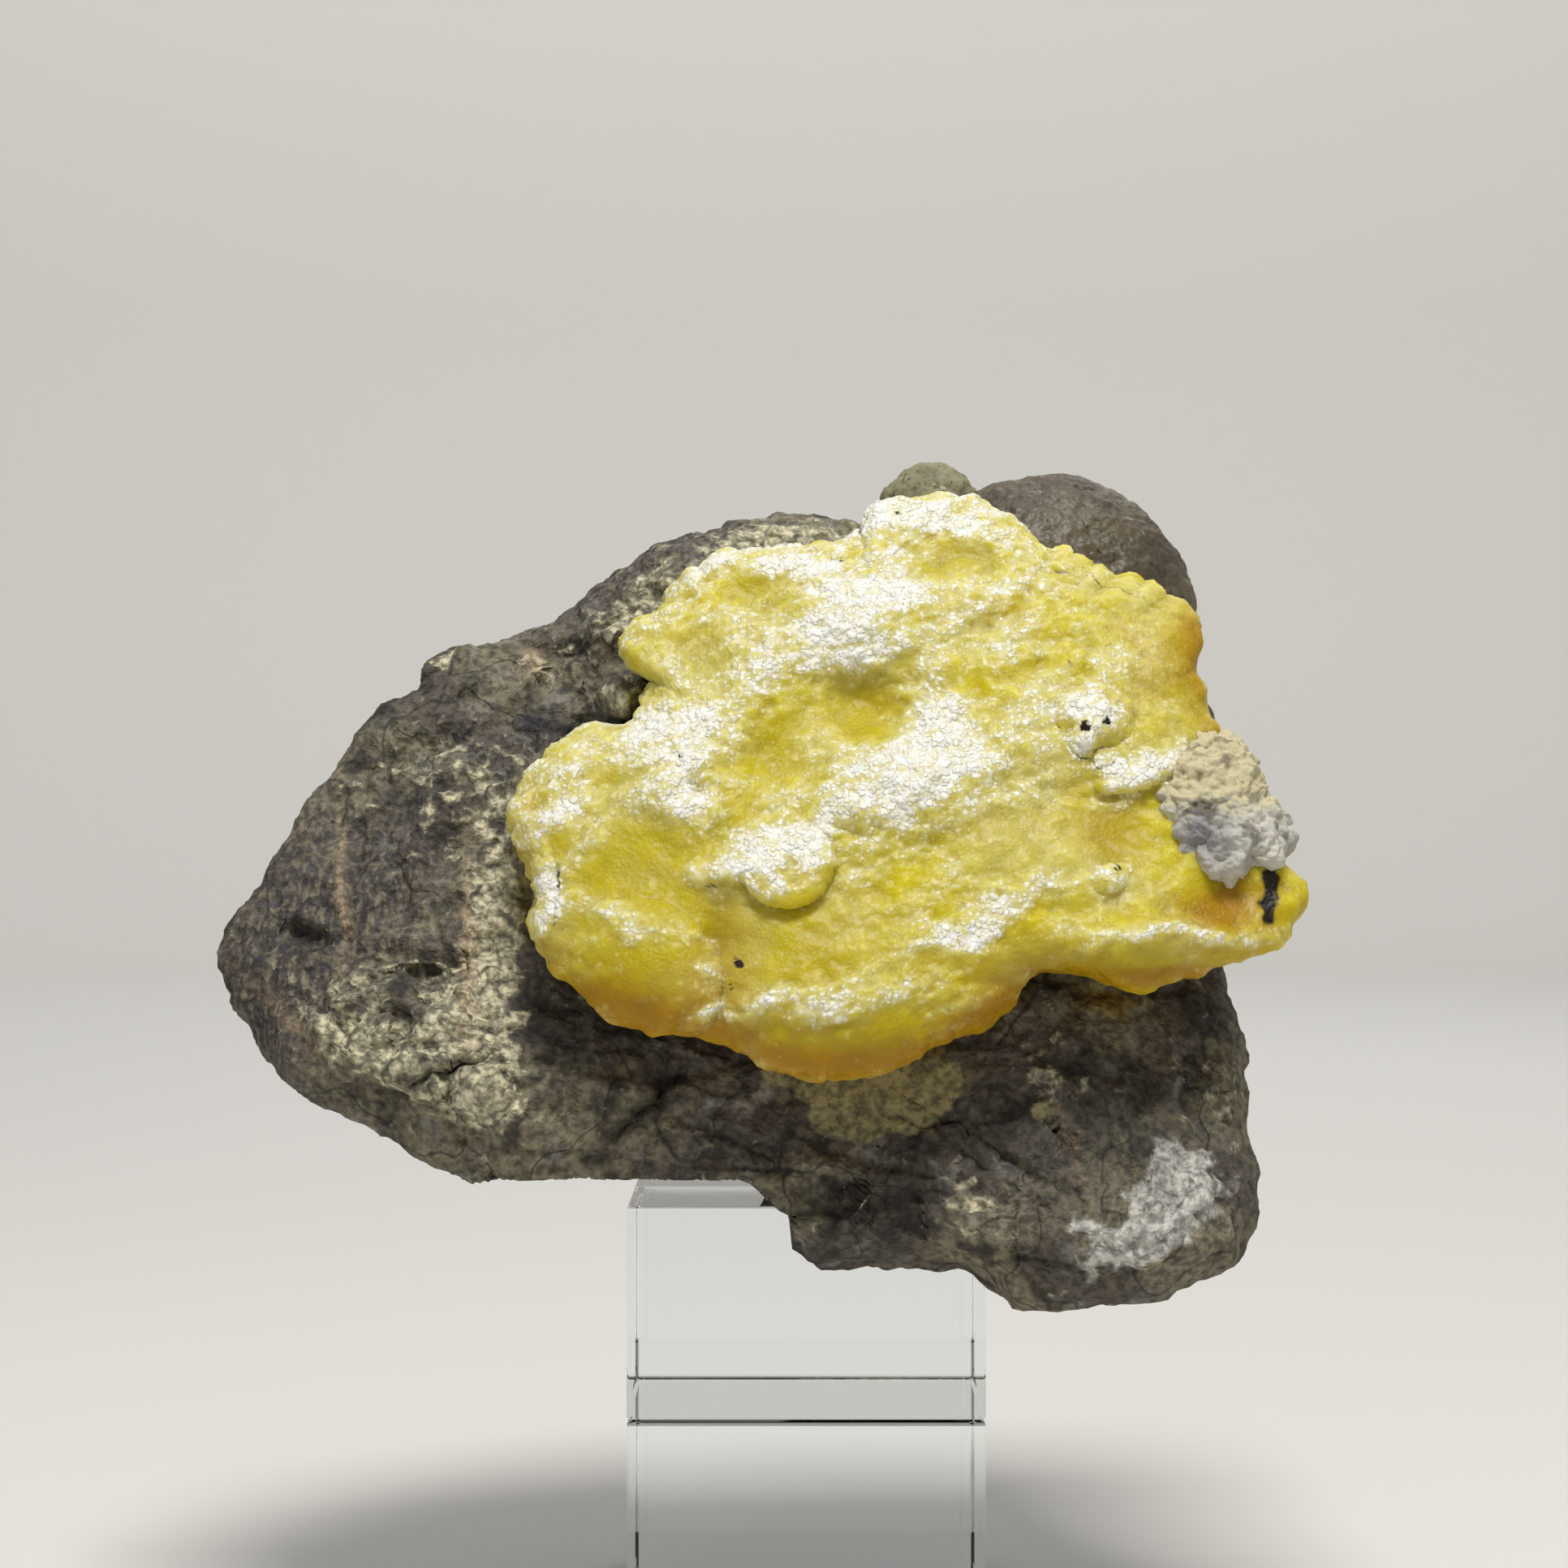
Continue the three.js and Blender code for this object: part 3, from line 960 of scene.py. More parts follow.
@dataclass(frozen=True)
class Botryoid:
    """A rounded lobe of fine-grained mineral, smooth to the touch, with tiny glints."""

    name: str
    body: str
    second: str
    dark: str
    roughness: float
    mottling: Waves
    fine: Waves = Waves(0.8, 2.0)
    glints: Cells = Cells(1.6)
    grains: Cells = Cells(1.0)
    second_at: Ramp = Ramp(0.38, 0.64)
    dark_at: Ramp = Ramp(0.45, 0.25)
    # Few grains glint, and those are smoother than the rest
    glint_at: Ramp = Ramp(0.86, 0.9)
    glint_gloss: float = 0.3
    relief_mm: float = 0.2
    relief_strength: float = 0.7

    def make(self) -> bpy.types.Material:
        """Put the material together.

        Returns:
            The material.
        """
        finish = Finish(self.name)
        mottles = finish.node("TexNoise", self.mottling.inputs(finish.place))
        fine = finish.node("TexNoise", self.fine.inputs(finish.place))
        colour = finish.lay(linear_colour(self.body), mottles, self.second_at, self.second)
        colour = finish.lay(colour, fine, self.dark_at, self.dark)
        lot = finish.node("TexVoronoi", self.glints.inputs(finish.place), "Color")
        glint = finish.node("MapRange", self.glint_at.inputs(lot), **SMOOTH)
        gloss = finish.node("Math", {0: glint, 1: self.glint_gloss}, operation="MULTIPLY")
        roughness = finish.node("Math", {0: self.roughness, 1: gloss}, operation="SUBTRACT")
        grains = finish.node("TexVoronoi", self.grains.inputs(finish.place))
        height = finish.node("Math", {0: fine, 1: grains}, operation="ADD")
        relief = {"Distance": self.relief_mm * MM, "Strength": self.relief_strength}
        normal = finish.node("Bump", {"Height": height} | relief)
        return finish.shade(
            {"Base Color": colour, "Roughness": roughness, "IOR": 1.55, "Normal": normal}
        )


@dataclass(frozen=True)
class PolishedAcrylic:
    """Cast acrylic, diamond-polished on every face: clear, with bright lines at its edges."""

    tint: str = "#F4F8FA"

    def make(self) -> bpy.types.Material:
        """Put the material together.

        Returns:
            The material.
        """
        finish = Finish("acrylic_cast_polished")
        return finish.shade(
            {
                "Base Color": linear_colour(self.tint),
                "Roughness": 0.01,
                "IOR": 1.49,
                "Transmission Weight": 1.0,
            }
        )


@dataclass(frozen=True)
class MattePaper:
    """The pale seamless surface that the object is shown on."""

    shade: str = "#E4E2DD"

    def make(self) -> bpy.types.Material:
        """Put the material together.

        Returns:
            The material.
        """
        finish = Finish("backdrop_paper_matte")
        tone = linear_colour(self.shade)
        return finish.shade({"Base Color": tone, "Roughness": 1.0, "Specular IOR Level": 0.0})


CRUST_EDGE = (
    (-26.7, 137.7), (-25.7, 139.8), (-22.0, 142.6), (-18.0, 146.7), (-16.2, 149.1), (-11.7, 151.8),
    (-4.9, 152.4), (2.2, 153.2), (8.3, 154.5), (9.3, 156.9), (10.5, 159.3), (16.1, 159.9),
    (20.8, 161.1), (26.0, 160.3), (30.4, 157.1), (34.1, 153.5), (35.7, 152.1), (36.9, 152.6),
    (38.0, 152.2), (38.8, 151.4), (40.0, 151.9), (41.2, 151.4), (42.0, 150.2), (43.4, 150.6),
    (44.6, 149.9), (45.2, 148.8), (46.6, 149.3), (47.9, 148.5), (48.5, 147.4), (50.0, 147.8),
    (51.5, 147.0), (52.1, 145.9), (53.6, 146.1), (56.1, 144.3), (56.9, 139.8), (55.4, 134.1),
    (57.0, 130.3), (57.3, 126.4), (58.4, 122.9), (61.9, 116.6), (64.6, 109.4), (67.0, 107.2),
    (68.0, 105.3), (67.8, 103.1), (65.8, 98.6), (60.9, 95.7), (55.3, 94.2), (48.3, 91.5),
    (44.2, 90.6), (42.0, 91.9), (37.0, 93.0), (31.1, 93.3), (29.7, 91.5), (25.9, 87.8),
    (21.3, 85.0), (17.0, 84.2), (13.6, 81.6), (10.0, 80.4), (5.9, 80.4), (0.9, 79.4),
    (-3.7, 80.7), (-8.2, 82.4), (-14.5, 85.5), (-18.0, 85.7), (-20.7, 85.1), (-25.7, 86.9),
    (-29.8, 89.4), (-32.5, 92.0), (-36.5, 96.3), (-37.4, 98.2), (-36.5, 100.1), (-36.7, 104.2),
    (-38.6, 108.2), (-40.5, 111.3), (-40.8, 115.0), (-39.2, 119.7), (-35.1, 123.7), (-31.2, 126.1),
    (-24.0, 127.1), (-21.9, 133.6),
)

ROCK_EDGE = (
    (-82.9, 94.0), (-82.8, 97.2), (-80.4, 102.3), (-75.7, 109.4), (-71.0, 117.1), (-66.2, 124.1),
    (-62.3, 129.9), (-57.1, 133.3), (-55.9, 137.1), (-53.2, 139.2), (-45.6, 141.2), (-37.6, 143.9),
    (-33.4, 147.4), (-26.9, 151.7), (-23.0, 154.1), (-17.2, 155.9), (-9.8, 158.6), (-3.0, 160.0),
    (4.8, 159.6), (12.0, 157.0), (24.0, 150.0), (38.0, 144.0), (52.0, 136.0), (60.5, 130.3),
    (58.0, 118.0), (57.0, 104.0), (58.6, 91.8), (61.0, 82.5), (61.3, 75.2), (61.6, 68.1),
    (62.0, 58.2), (59.8, 54.7), (53.7, 51.2), (48.5, 49.9), (41.2, 49.6), (33.8, 49.4),
    (28.6, 50.2), (25.0, 52.7), (21.4, 54.7), (15.4, 55.1), (8.0, 55.8), (2.1, 55.8),
    (-2.3, 58.2), (-4.6, 60.3), (-16.0, 62.5), (-31.0, 64.3), (-41.5, 63.0), (-52.1, 66.9),
    (-62.9, 72.0), (-73.0, 78.0), (-78.8, 85.5),
)

NODULE_EDGE = (
    (49.0, 121.0), (53.0, 124.6), (60.6, 125.0), (62.7, 118.3), (65.6, 113.1), (66.0, 110.6),
    (65.2, 108.4), (61.4, 106.6), (56.8, 105.4), (52.0, 107.2), (49.5, 110.0), (49.0, 115.0),
)


def ellipse(x: float, z: float, wide: float, tall: float, corners: int = 32) -> Corners:
    """Return the corners of an ellipse as x and z."""
    turns = [2.0 * math.pi * i / corners for i in range(corners)]
    return tuple((x + wide * math.cos(turn), z + tall * math.sin(turn)) for turn in turns)


@dataclass
class BruciteCrust(Lump):
    """The thick yellow crust that faces the viewer."""

    name: str = "yellow_crust"
    points: Corners = CRUST_EDGE
    centre: tuple[float, float] = (10.0, 116.5)
    rim_y: float = -45.0
    rim_z: float = 80.0
    lean: float = CRUST_LEAN
    front: float = 10.0
    back: float = 20.0
    squareness: float = 2.5
    crowding: float = 0.4
    ripple: float = 0.9
    swells: tuple[Spot, ...] = (
        Spot(7.5, 129.6, 9.0, 5.5, -4.5),
        Spot(-3.8, 122.8, 8.0, 6.0, -3.0),
        Spot(-7.2, 144.7, 5.5, 4.5, -3.2),
        Spot(-15.1, 136.5, 4.6, 4.6, -2.8),
        Spot(-15.6, 145.6, 8.0, 0.7, -1.3, turn=48.0),
        Spot(-19.0, 140.0, 2.0, 3.0, 1.2),
        Spot(20.5, 150.7, 8.0, 4.0, -2.4),
        Spot(-15.4, 117.8, 2.6, 2.0, -2.4),
        Spot(-17.5, 119.0, 8.0, 7.0, 2.0),
        Spot(12.9, 118.4, 14.0, 6.0, 2.5),
        Spot(10.6, 117.6, 1.2, 1.2, -1.6),
        Spot(6.5, 142.4, 12.0, 6.0, 2.4),
        Spot(40.1, 128.2, 5.4, 4.4, 2.2, Profile.ROUND),
        Spot(38.2, 124.0, 1.4, 1.4, 1.2, Profile.ROUND),
        Spot(40.9, 122.1, 1.1, 1.1, 1.0, Profile.ROUND),
        Spot(38.0, 135.9, 0.8, 2.0, 1.4, Profile.ROUND, -12.0),
        Spot(-2.6, 107.6, 6.2, 5.4, 3.6, Profile.SHELF, 14.0),
        Spot(-9.6, 107.4, 5.4, 2.6, 2.2, turn=8.0),
        Spot(-21.8, 93.6, 10.5, 9.4, 2.8, Profile.ROUND, -25.0),
        Spot(5.0, 88.5, 17.0, 8.0, 2.6),
        Spot(24.0, 94.0, 9.0, 7.0, 1.2, turn=30.0),
        Spot(48.0, 97.6, 15.0, 3.2, 3.6),
        Spot(43.0, 113.0, 8.0, 7.0, -2.5),
        Spot(40.9, 105.9, 2.4, 1.7, 1.6, Profile.ROUND, 30.0),
        Spot(58.4, 103.8, 5.0, 3.4, -2.6),
        Spot(-35.6, 103.5, 1.7, 6.8, 1.8, Profile.ROUND),
        Spot(-31.0, 103.0, 2.4, 6.0, -0.6),
        Spot(-12.0, 95.0, 2.6, 9.0, -2.2),
        Spot(-11.6, 91.0, 0.9, 8.5, -0.9, turn=8.0),
        Spot(-35.9, 98.4, 1.2, 1.1, 0.9, Profile.ROUND),
        Spot(-35.4, 100.6, 1.3, 1.2, 1.0, Profile.ROUND),
        Spot(-35.5, 102.9, 1.2, 1.2, 0.9, Profile.ROUND),
        Spot(-35.2, 105.2, 1.3, 1.2, 1.0, Profile.ROUND),
        Spot(-35.6, 107.5, 1.2, 1.2, 0.9, Profile.ROUND),
        Spot(24.0, 139.0, 5.0, 3.0, -1.4),
        Spot(30.0, 116.0, 9.0, 5.0, -1.5, turn=20.0),
        Spot(50.0, 133.0, 5.0, 6.0, 1.6),
        Spot(46.0, 120.5, 6.5, 2.2, 2.2, Profile.SHELF, 18.0),
        Spot(37.0, 150.4, 1.8, 1.7, 1.6, Profile.ROUND),
        Spot(40.1, 149.8, 1.7, 1.6, 1.5, Profile.ROUND),
        Spot(43.3, 148.4, 1.9, 1.8, 1.7, Profile.ROUND),
        Spot(46.6, 147.2, 1.7, 1.6, 1.5, Profile.ROUND),
        Spot(50.0, 145.8, 1.9, 1.7, 1.6, Profile.ROUND),
        Spot(53.4, 144.4, 1.7, 1.7, 1.4, Profile.ROUND),
    )
    # White grain patches, which also carry a painted highlight where the top light falls
    frost_and_highlight_spots: tuple[Spot, ...] = (
        Spot(6.5, 142.4, 9.0, 5.5, 1.0, turn=35.0),
        Spot(-3.0, 136.5, 8.0, 3.0, 0.8, turn=30.0),
        Spot(12.9, 118.4, 12.0, 5.0, 1.2, turn=18.0),
        Spot(-18.5, 123.8, 6.0, 5.5, 1.05),
        Spot(-17.5, 115.8, 5.0, 2.4, 1.1),
        Spot(18.7, 129.6, 4.0, 4.5, 0.9),
        Spot(18.0, 157.5, 12.0, 3.5, 0.9),
        Spot(-6.0, 150.5, 16.0, 2.0, 0.6),
        Spot(39.0, 129.5, 6.5, 5.0, 0.9),
        Spot(38.2, 124.2, 1.2, 1.2, 1.2),
        Spot(40.8, 122.3, 0.9, 0.9, 1.2),
        Spot(-9.4, 107.4, 5.2, 2.4, 1.3, turn=8.0),
        Spot(-2.2, 111.2, 5.0, 1.5, 1.3, turn=8.0),
        Spot(1.4, 108.8, 1.4, 3.0, 1.0),
        Spot(-23.0, 99.8, 7.0, 1.8, 0.9, turn=-12.0),
        Spot(-13.6, 93.8, 1.0, 4.0, 0.8, turn=20.0),
        Spot(2.0, 90.0, 9.0, 2.2, 1.0, turn=10.0),
        Spot(16.8, 97.8, 7.0, 1.6, 0.8, turn=18.0),
        Spot(27.0, 103.0, 9.0, 2.2, 0.7, turn=20.0),
        Spot(41.0, 106.0, 3.0, 2.0, 1.0),
        Spot(49.0, 98.4, 13.0, 1.3, 0.9, turn=-3.0),
        Spot(-35.6, 103.0, 1.5, 5.5, 1.3),
        Spot(-34.0, 116.0, 5.0, 6.0, 0.5),
        Spot(-12.0, 88.5, 3.0, 0.9, 0.8),
        Spot(46.0, 120.5, 6.5, 2.2, 2.0, turn=20.0),
    )
    satin_spots: tuple[Spot, ...] = (
        Spot(8.5, 129.8, 8.0, 5.0),
        Spot(-3.8, 122.4, 5.0, 5.0, 0.8),
        Spot(-7.2, 144.7, 4.5, 4.0, 0.7),
        Spot(-15.1, 136.5, 4.0, 4.5, 0.7),
        Spot(21.0, 150.7, 6.0, 2.5),
        Spot(-22.0, 108.0, 9.0, 9.0),
        Spot(-22.0, 91.0, 10.0, 6.0),
        Spot(-4.0, 98.5, 13.0, 6.0),
        Spot(5.0, 84.0, 18.0, 4.5),
        Spot(42.0, 113.0, 5.0, 6.5),
        Spot(57.5, 103.8, 5.0, 3.0),
        Spot(26.0, 112.0, 8.0, 4.0, 0.6),
        Spot(54.0, 138.0, 3.0, 6.0, 0.8),
        Spot(30.0, 94.5, 16.0, 3.0, 0.7),
    )
    # Orange-gold at thin edges and windows; along the lower edges it is painted shade
    amber_and_shade_spots: tuple[Spot, ...] = (
        Spot(9.5, 130.2, 6.5, 3.6, 0.12),
        Spot(-22.0, 88.0, 14.0, 4.5, 0.9),
        Spot(0.0, 82.5, 22.0, 3.5, 0.85),
        Spot(24.0, 89.0, 9.0, 3.0, 0.8, turn=30.0),
        Spot(42.0, 113.5, 5.0, 8.0, 0.4),
        Spot(50.0, 137.0, 6.0, 7.0, 0.5),
        Spot(55.8, 101.6, 5.5, 3.6, 1.2),
        Spot(55.8, 138.0, 2.6, 7.0, 0.9),
        Spot(56.5, 125.0, 2.2, 4.0, 0.7),
        Spot(-39.0, 112.0, 2.2, 7.0, 0.6),
        Spot(46.0, 93.0, 12.0, 1.8, 0.8),
        Spot(28.0, 143.0, 5.0, 3.0, 0.45),
        Spot(-12.0, 97.0, 3.0, 7.0, 0.4),
    )
    speck_spots: tuple[Spot, ...] = (
        Spot(-9.1, 94.9, 0.65, 0.75, 1.3),
        Spot(-9.9, 95.9, 0.35, 0.35, 1.0),
        Spot(-10.2, 91.9, 0.35, 0.6, 1.1),
        Spot(-8.6, 100.8, 0.7, 0.4, 0.6),
        Spot(-4.2, 97.3, 1.2, 0.4, 0.4),
        Spot(41.2, 127.6, 0.5, 0.8, 1.3, turn=-30.0),
        Spot(40.0, 126.3, 0.5, 0.5, 1.2),
        Spot(38.6, 127.0, 0.55, 0.7, 1.3),
        Spot(38.4, 126.0, 0.45, 0.45, 1.2),
        Spot(41.9, 107.5, 0.7, 0.4, 1.2),
        Spot(63.2, 105.4, 1.6, 2.6, 1.2, turn=8.0),
        Spot(62.4, 101.2, 1.5, 1.9, 1.1),
        Spot(-17.4, 122.6, 0.4, 0.8, 0.9, turn=40.0),
        Spot(4.9, 151.0, 0.7, 0.4, 0.8),
        Spot(13.3, 158.2, 0.6, 0.4, 0.9),
        Spot(-13.0, 105.0, 1.6, 0.4, 0.8),
    )

    # Painted highlight: this crowding is raised where the crust faces up and higher up
    # The drusy grains' crowding, from what is placed one by one and what is spread all over
    wander: tuple[Grit, Grit] = (Grit(5.0, 2.5, 3), Grit(7.0, 2.5, 3))
    streak: Streak = Streak(0.94, 0.34, 2.2)
    clusters: Grit = Grit(7.0, 1.0, 5)
    up_ends: Range = (-0.1, 0.7)
    upper_ends: Range = (84.0, 150.0)
    right_ends: Range = (18.0, 50.0)
    placed_by_cluster: Line = Line(0.8, 0.35)
    base_frost_and_highlight: float = 0.3
    base_by_height: Line = Line(0.55, 0.45)
    ledge_by_height: Line = Line(0.1, 0.2)
    cluster_gain: float = 0.45
    spread_by_right: Line = Line(1.0, -0.55)
    placed_by_satin: Line = Line(1.0, -0.3)
    spread_by_satin: Line = Line(1.0, -0.9)
    # The surface: lobes in three sizes, a bank under each white patch of grains, and roughness
    bend: Grit = Grit(6.0, 1.2, 2)
    bend_apart: Vector = Vector((50.0, 0.0, 0.0)).freeze()
    broad: Knobs = Knobs(11.0, 1.1)
    small: Knobs = Knobs(3.4, 0.5)
    small_by_satin: Line = Line(1.0, -0.8)
    bank: float = 0.55
    bank_ends: Range = (0.1, 0.8)
    druse: Knobs = Knobs(1.3, 0.75, 0.5)
    druse_ends: Range = (0.0, 0.6)
    rough: Grit = Grit(3.5, 0.6, 5)
    rough_by_satin: Line = Line(1.0, -0.65)
    # The colours' masks
    tint_wander: tuple[Grit, Grit] = (Grit(6.0, 2.0, 3), Grit(8.0, 2.0, 3))
    blot: Grit = Grit(1.4, 0.6, 3)
    rim_ends: Range = (0.86, 1.0)
    low_ends: Range = (112.0, 84.0)
    rim_amber: float = 0.35
    rim_shade_by_low: Line = Line(0.4, 1.0)
    shade_towards_bottom: float = 0.1
    amber_by_crowd: Line = Line(1.0, -0.5)
    amber_waves: Grit = Grit(9.0, 0.12, 2)
    clear_satin: float = 0.45
    shade_facing_down: float = 0.2
    under_ends: Range = (0.3, -0.5)
    back_frost_and_highlight: float = 0.15
    frost_and_highlight_facing: float = 0.6
    speck_facing: float = 0.2

    def crowding_and_highlight_at(self, point: Vector, normal: Vector) -> tuple[float, float]:
        """Work out how thickly the drusy grains stand, with a painted highlight that gathers where
        the crust faces up and higher up, and how smooth the crust is.

        Args:
            point: A place on the crust.
            normal: The way it faces.

        Returns:
            The grains' crowding with the painted highlight, and the smoothness, both about 0 to 1.
        """
        x = point.x + self.wander[0].at(point)
        z = point.z + self.wander[1].at(point)
        satin = clamp(total(self.satin_spots, x, z))
        cluster = self.clusters.at(self.streak.at(point))
        # Painted highlight: more white where the crust faces up and near its top, less to the right
        facing_up = ease(*self.up_ends, normal.z)
        upper = ease(*self.upper_ends, point.z)
        placed = total(self.frost_and_highlight_spots, x, z) * self.placed_by_cluster.at(cluster)
        spread = self.base_frost_and_highlight * self.base_by_height.at(upper)
        spread += self.ledge_by_height.at(upper) * facing_up + self.cluster_gain * cluster
        spread *= self.spread_by_right.at(ease(*self.right_ends, point.x))
        placed *= self.placed_by_satin.at(satin)
        return placed + spread * self.spread_by_satin.at(satin), satin

    def detail(self, point: Vector, normal: Vector, out: float) -> Vector:
        """Grow lobes and drusy grain on the plain crust.

        Args:
            point: A place on the plain surface.
            normal: The way it faces.
            out: How near the rim it is.

        Returns:
            The place on the real surface.
        """
        crowd_and_highlight, satin = self.crowding_and_highlight_at(point, normal)
        bent = point + Vector((self.bend.at(point), self.bend.at(point + self.bend_apart), 0.0))
        height = self.broad.at(bent)
        height += self.small.at(bent) * self.small_by_satin.at(satin)
        height += self.bank * ease(*self.bank_ends, crowd_and_highlight)
        height += self.druse.at(bent) * ease(*self.druse_ends, crowd_and_highlight)
        height += self.rough.at(point) * self.rough_by_satin.at(satin)
        return point + normal * height

    def paint(self, point: Vector, normal: Vector, out: float) -> dict[str, float]:
        """Say where the crust is white with grains and painted highlight, orange-gold, clear or
        specked, and where painted shade deepens it.

        Args:
            point: A place on the real surface.
            normal: The way it faces.
            out: How near the rim it is.

        Returns:
            The masks.
        """
        crowd_and_highlight, satin = self.crowding_and_highlight_at(point, normal)
        x = point.x + self.tint_wander[0].at(point)
        z = point.z + self.tint_wander[1].at(point)
        blot = self.blot.at(point)
        # Painted shade: the orange-gold deepens towards the bottom and along the lower rim
        low = ease(*self.low_ends, point.z)
        rim = self.rim_amber * ease(*self.rim_ends, out) * self.rim_shade_by_low.at(low)
        amber_and_shade = (total(self.amber_and_shade_spots, x, z) + rim) + self.shade_towards_bottom * low
        amber_and_shade = amber_and_shade * self.amber_by_crowd.at(clamp(crowd_and_highlight)) + self.amber_waves.at(point)
        specks = total(self.speck_spots, point.x + blot, point.z - blot)
        # Painted shade: the clear mask also deepens faces that turn down
        under = self.shade_facing_down * ease(*self.under_ends, normal.z)
        return {
            "frost_and_highlight": crowd_and_highlight if normal.y < self.frost_and_highlight_facing else self.back_frost_and_highlight,
            "amber_and_shade": amber_and_shade,
            "clear": self.clear_satin * satin + under,
            "speck": specks if normal.y < self.speck_facing else 0.0,
        }


@dataclass
class MatrixRock(Lump):
    """The host rock that carries everything and rests on the upper block."""

    name: str = "host_rock"
    points: Corners = ROCK_EDGE
    centre: tuple[float, float] = (-5.0, 105.0)
    rim_y: float = -30.0
    rim_z: float = 60.0
    lean: float = ROCK_LEAN
    front: float = 15.0
    back: float = 28.0
    squareness: float = 3.0
    crowding: float = 0.25
    swells: tuple[Spot, ...] = (
        Spot(-52.0, 84.0, 16.0, 9.0, 5.0),
        Spot(-70.0, 112.0, 20.0, 22.0, -5.0),
        Spot(-45.0, 132.0, 22.0, 12.0, -4.0),
        Spot(49.0, 60.0, 15.0, 9.0, 8.0),
        Spot(10.0, 72.0, 24.0, 7.0, -4.0),
        Spot(-57.0, 84.5, 13.0, 7.5, 2.5, Profile.ROUND, -15.0),
        Spot(-55.6, 91.9, 5.5, 1.5, -3.5, Profile.ROUND, 8.0),
        Spot(-70.7, 97.5, 3.6, 1.8, -2.5, Profile.ROUND, -20.0),
        Spot(-50.0, 79.5, 5.0, 1.4, -3.0, Profile.ROUND, 20.0),
        Spot(-55.0, 86.0, 1.6, 2.6, -2.0, Profile.ROUND),
        Spot(-44.0, 77.0, 4.0, 3.0, 2.5, Profile.ROUND),
        Spot(-39.8, 136.6, 2.4, 2.8, 1.5, Profile.ROUND),
        Spot(-26.6, 131.8, 3.4, 2.4, 7.0, Profile.ROUND, 10.0),
        Spot(-30.0, 126.0, 7.0, 3.5, -3.0),
        Spot(-22.0, 74.5, 7.0, 1.3, -2.5, turn=43.0),
        Spot(50.0, 63.5, 6.0, 4.0, 2.5, Profile.ROUND),
        Spot(44.0, 57.5, 6.0, 2.6, 2.5, Profile.ROUND, 25.0),
        Spot(10.4, 77.0, 12.0, 7.0, 1.8, Profile.ROUND, 10.0),
        Spot(31.5, 74.4, 2.4, 1.8, 1.4, Profile.ROUND, 15.0),
        Spot(26.2, 68.6, 13.0, 0.7, -1.5, turn=-32.0),
        Spot(24.6, 66.4, 11.0, 0.5, -1.0, turn=-32.0),
        Spot(6.4, 63.3, 7.5, 0.7, -1.8, turn=56.0),
        Spot(9.0, 62.4, 6.5, 0.6, -1.2, turn=56.0),
        Spot(35.2, 70.5, 0.6, 7.0, -1.2, turn=16.0),
        Spot(-65.7, 103.6, 0.8, 12.0, 0.9, turn=8.0),
        Spot(-47.2, 95.0, 0.8, 13.5, 1.0, turn=3.0),
    )
    back_swells: tuple[Spot, ...] = (
        Spot(2.0, 75.0, 40.0, 22.0, 17.0),
        Spot(-52.0, 98.0, 20.0, 18.0, -5.0),
        Spot(-24.0, 132.0, 18.0, 13.0, -4.0),
        Spot(34.0, 108.0, 18.0, 16.0, 4.0),
        Spot(-12.0, 104.0, 12.0, 7.0, 4.0, Profile.ROUND, 30.0),
        Spot(-40.0, 82.0, 12.0, 8.0, 3.5, Profile.ROUND, -20.0),
        Spot(20.0, 130.0, 12.0, 6.0, 3.0, Profile.ROUND, -15.0),
    )
    # Cream crust; the strip on the left ledge by the crust's shadow is painted light
    cream_and_light_spots: tuple[Spot, ...] = (
        Spot(-58.0, 83.0, 11.0, 4.5, 1.0, turn=-15.0),
        Spot(-48.0, 84.0, 4.0, 9.0, 1.0),
        Spot(-43.8, 91.0, 3.8, 16.0, 1.5),
        Spot(-43.0, 77.5, 4.5, 3.5, 1.2),
        Spot(-60.0, 92.0, 9.0, 2.0, 0.6),
        Spot(-3.0, 155.5, 13.0, 3.0, 0.9, turn=6.0),
        Spot(-24.0, 145.0, 10.0, 3.2, 0.95, turn=32.0),
        Spot(-25.5, 131.8, 4.0, 2.2, 1.3),
        Spot(-39.8, 136.6, 2.0, 2.4, 1.0),
        Spot(-53.5, 138.0, 3.5, 1.6, 0.7, turn=30.0),
        Spot(-48.0, 118.0, 12.0, 8.0, 0.5),
        Spot(32.8, 77.3, 3.4, 8.0, 0.45),
        Spot(20.6, 63.0, 3.4, 3.2, 0.55),
        Spot(56.0, 75.0, 5.0, 9.0, 0.35),
    )
    # Painted shade in the carved cracks and hollows, and on rock that lies in the crust's shadow
    painted_shade_spots: tuple[Spot, ...] = (
        Spot(-55.6, 91.6, 5.0, 1.1, 1.0, turn=8.0),
        Spot(-70.7, 97.5, 3.4, 1.5, 1.0, turn=-20.0),
        Spot(-50.0, 79.5, 4.5, 1.1, 0.9, turn=20.0),
        Spot(-55.0, 86.0, 1.2, 2.2, 0.8),
        Spot(-22.0, 74.5, 8.0, 1.2, 0.9, turn=43.0),
        Spot(-30.0, 126.0, 6.0, 2.2, 0.6),
        Spot(42.0, 70.0, 9.0, 6.0, 0.55),
        Spot(28.0, 70.0, 3.0, 5.0, 0.5),
        Spot(-78.0, 92.0, 6.0, 8.0, 0.4),
        Spot(-34.0, 84.0, 5.0, 6.0, 0.4),
    )
    blue_spots: tuple[Spot, ...] = (
        Spot(-35.3, 126.5, 4.5, 2.4, 0.95),
        Spot(-40.5, 127.5, 2.4, 1.4, 0.7),
        Spot(-60.0, 117.0, 1.6, 4.0, 0.55),
    )
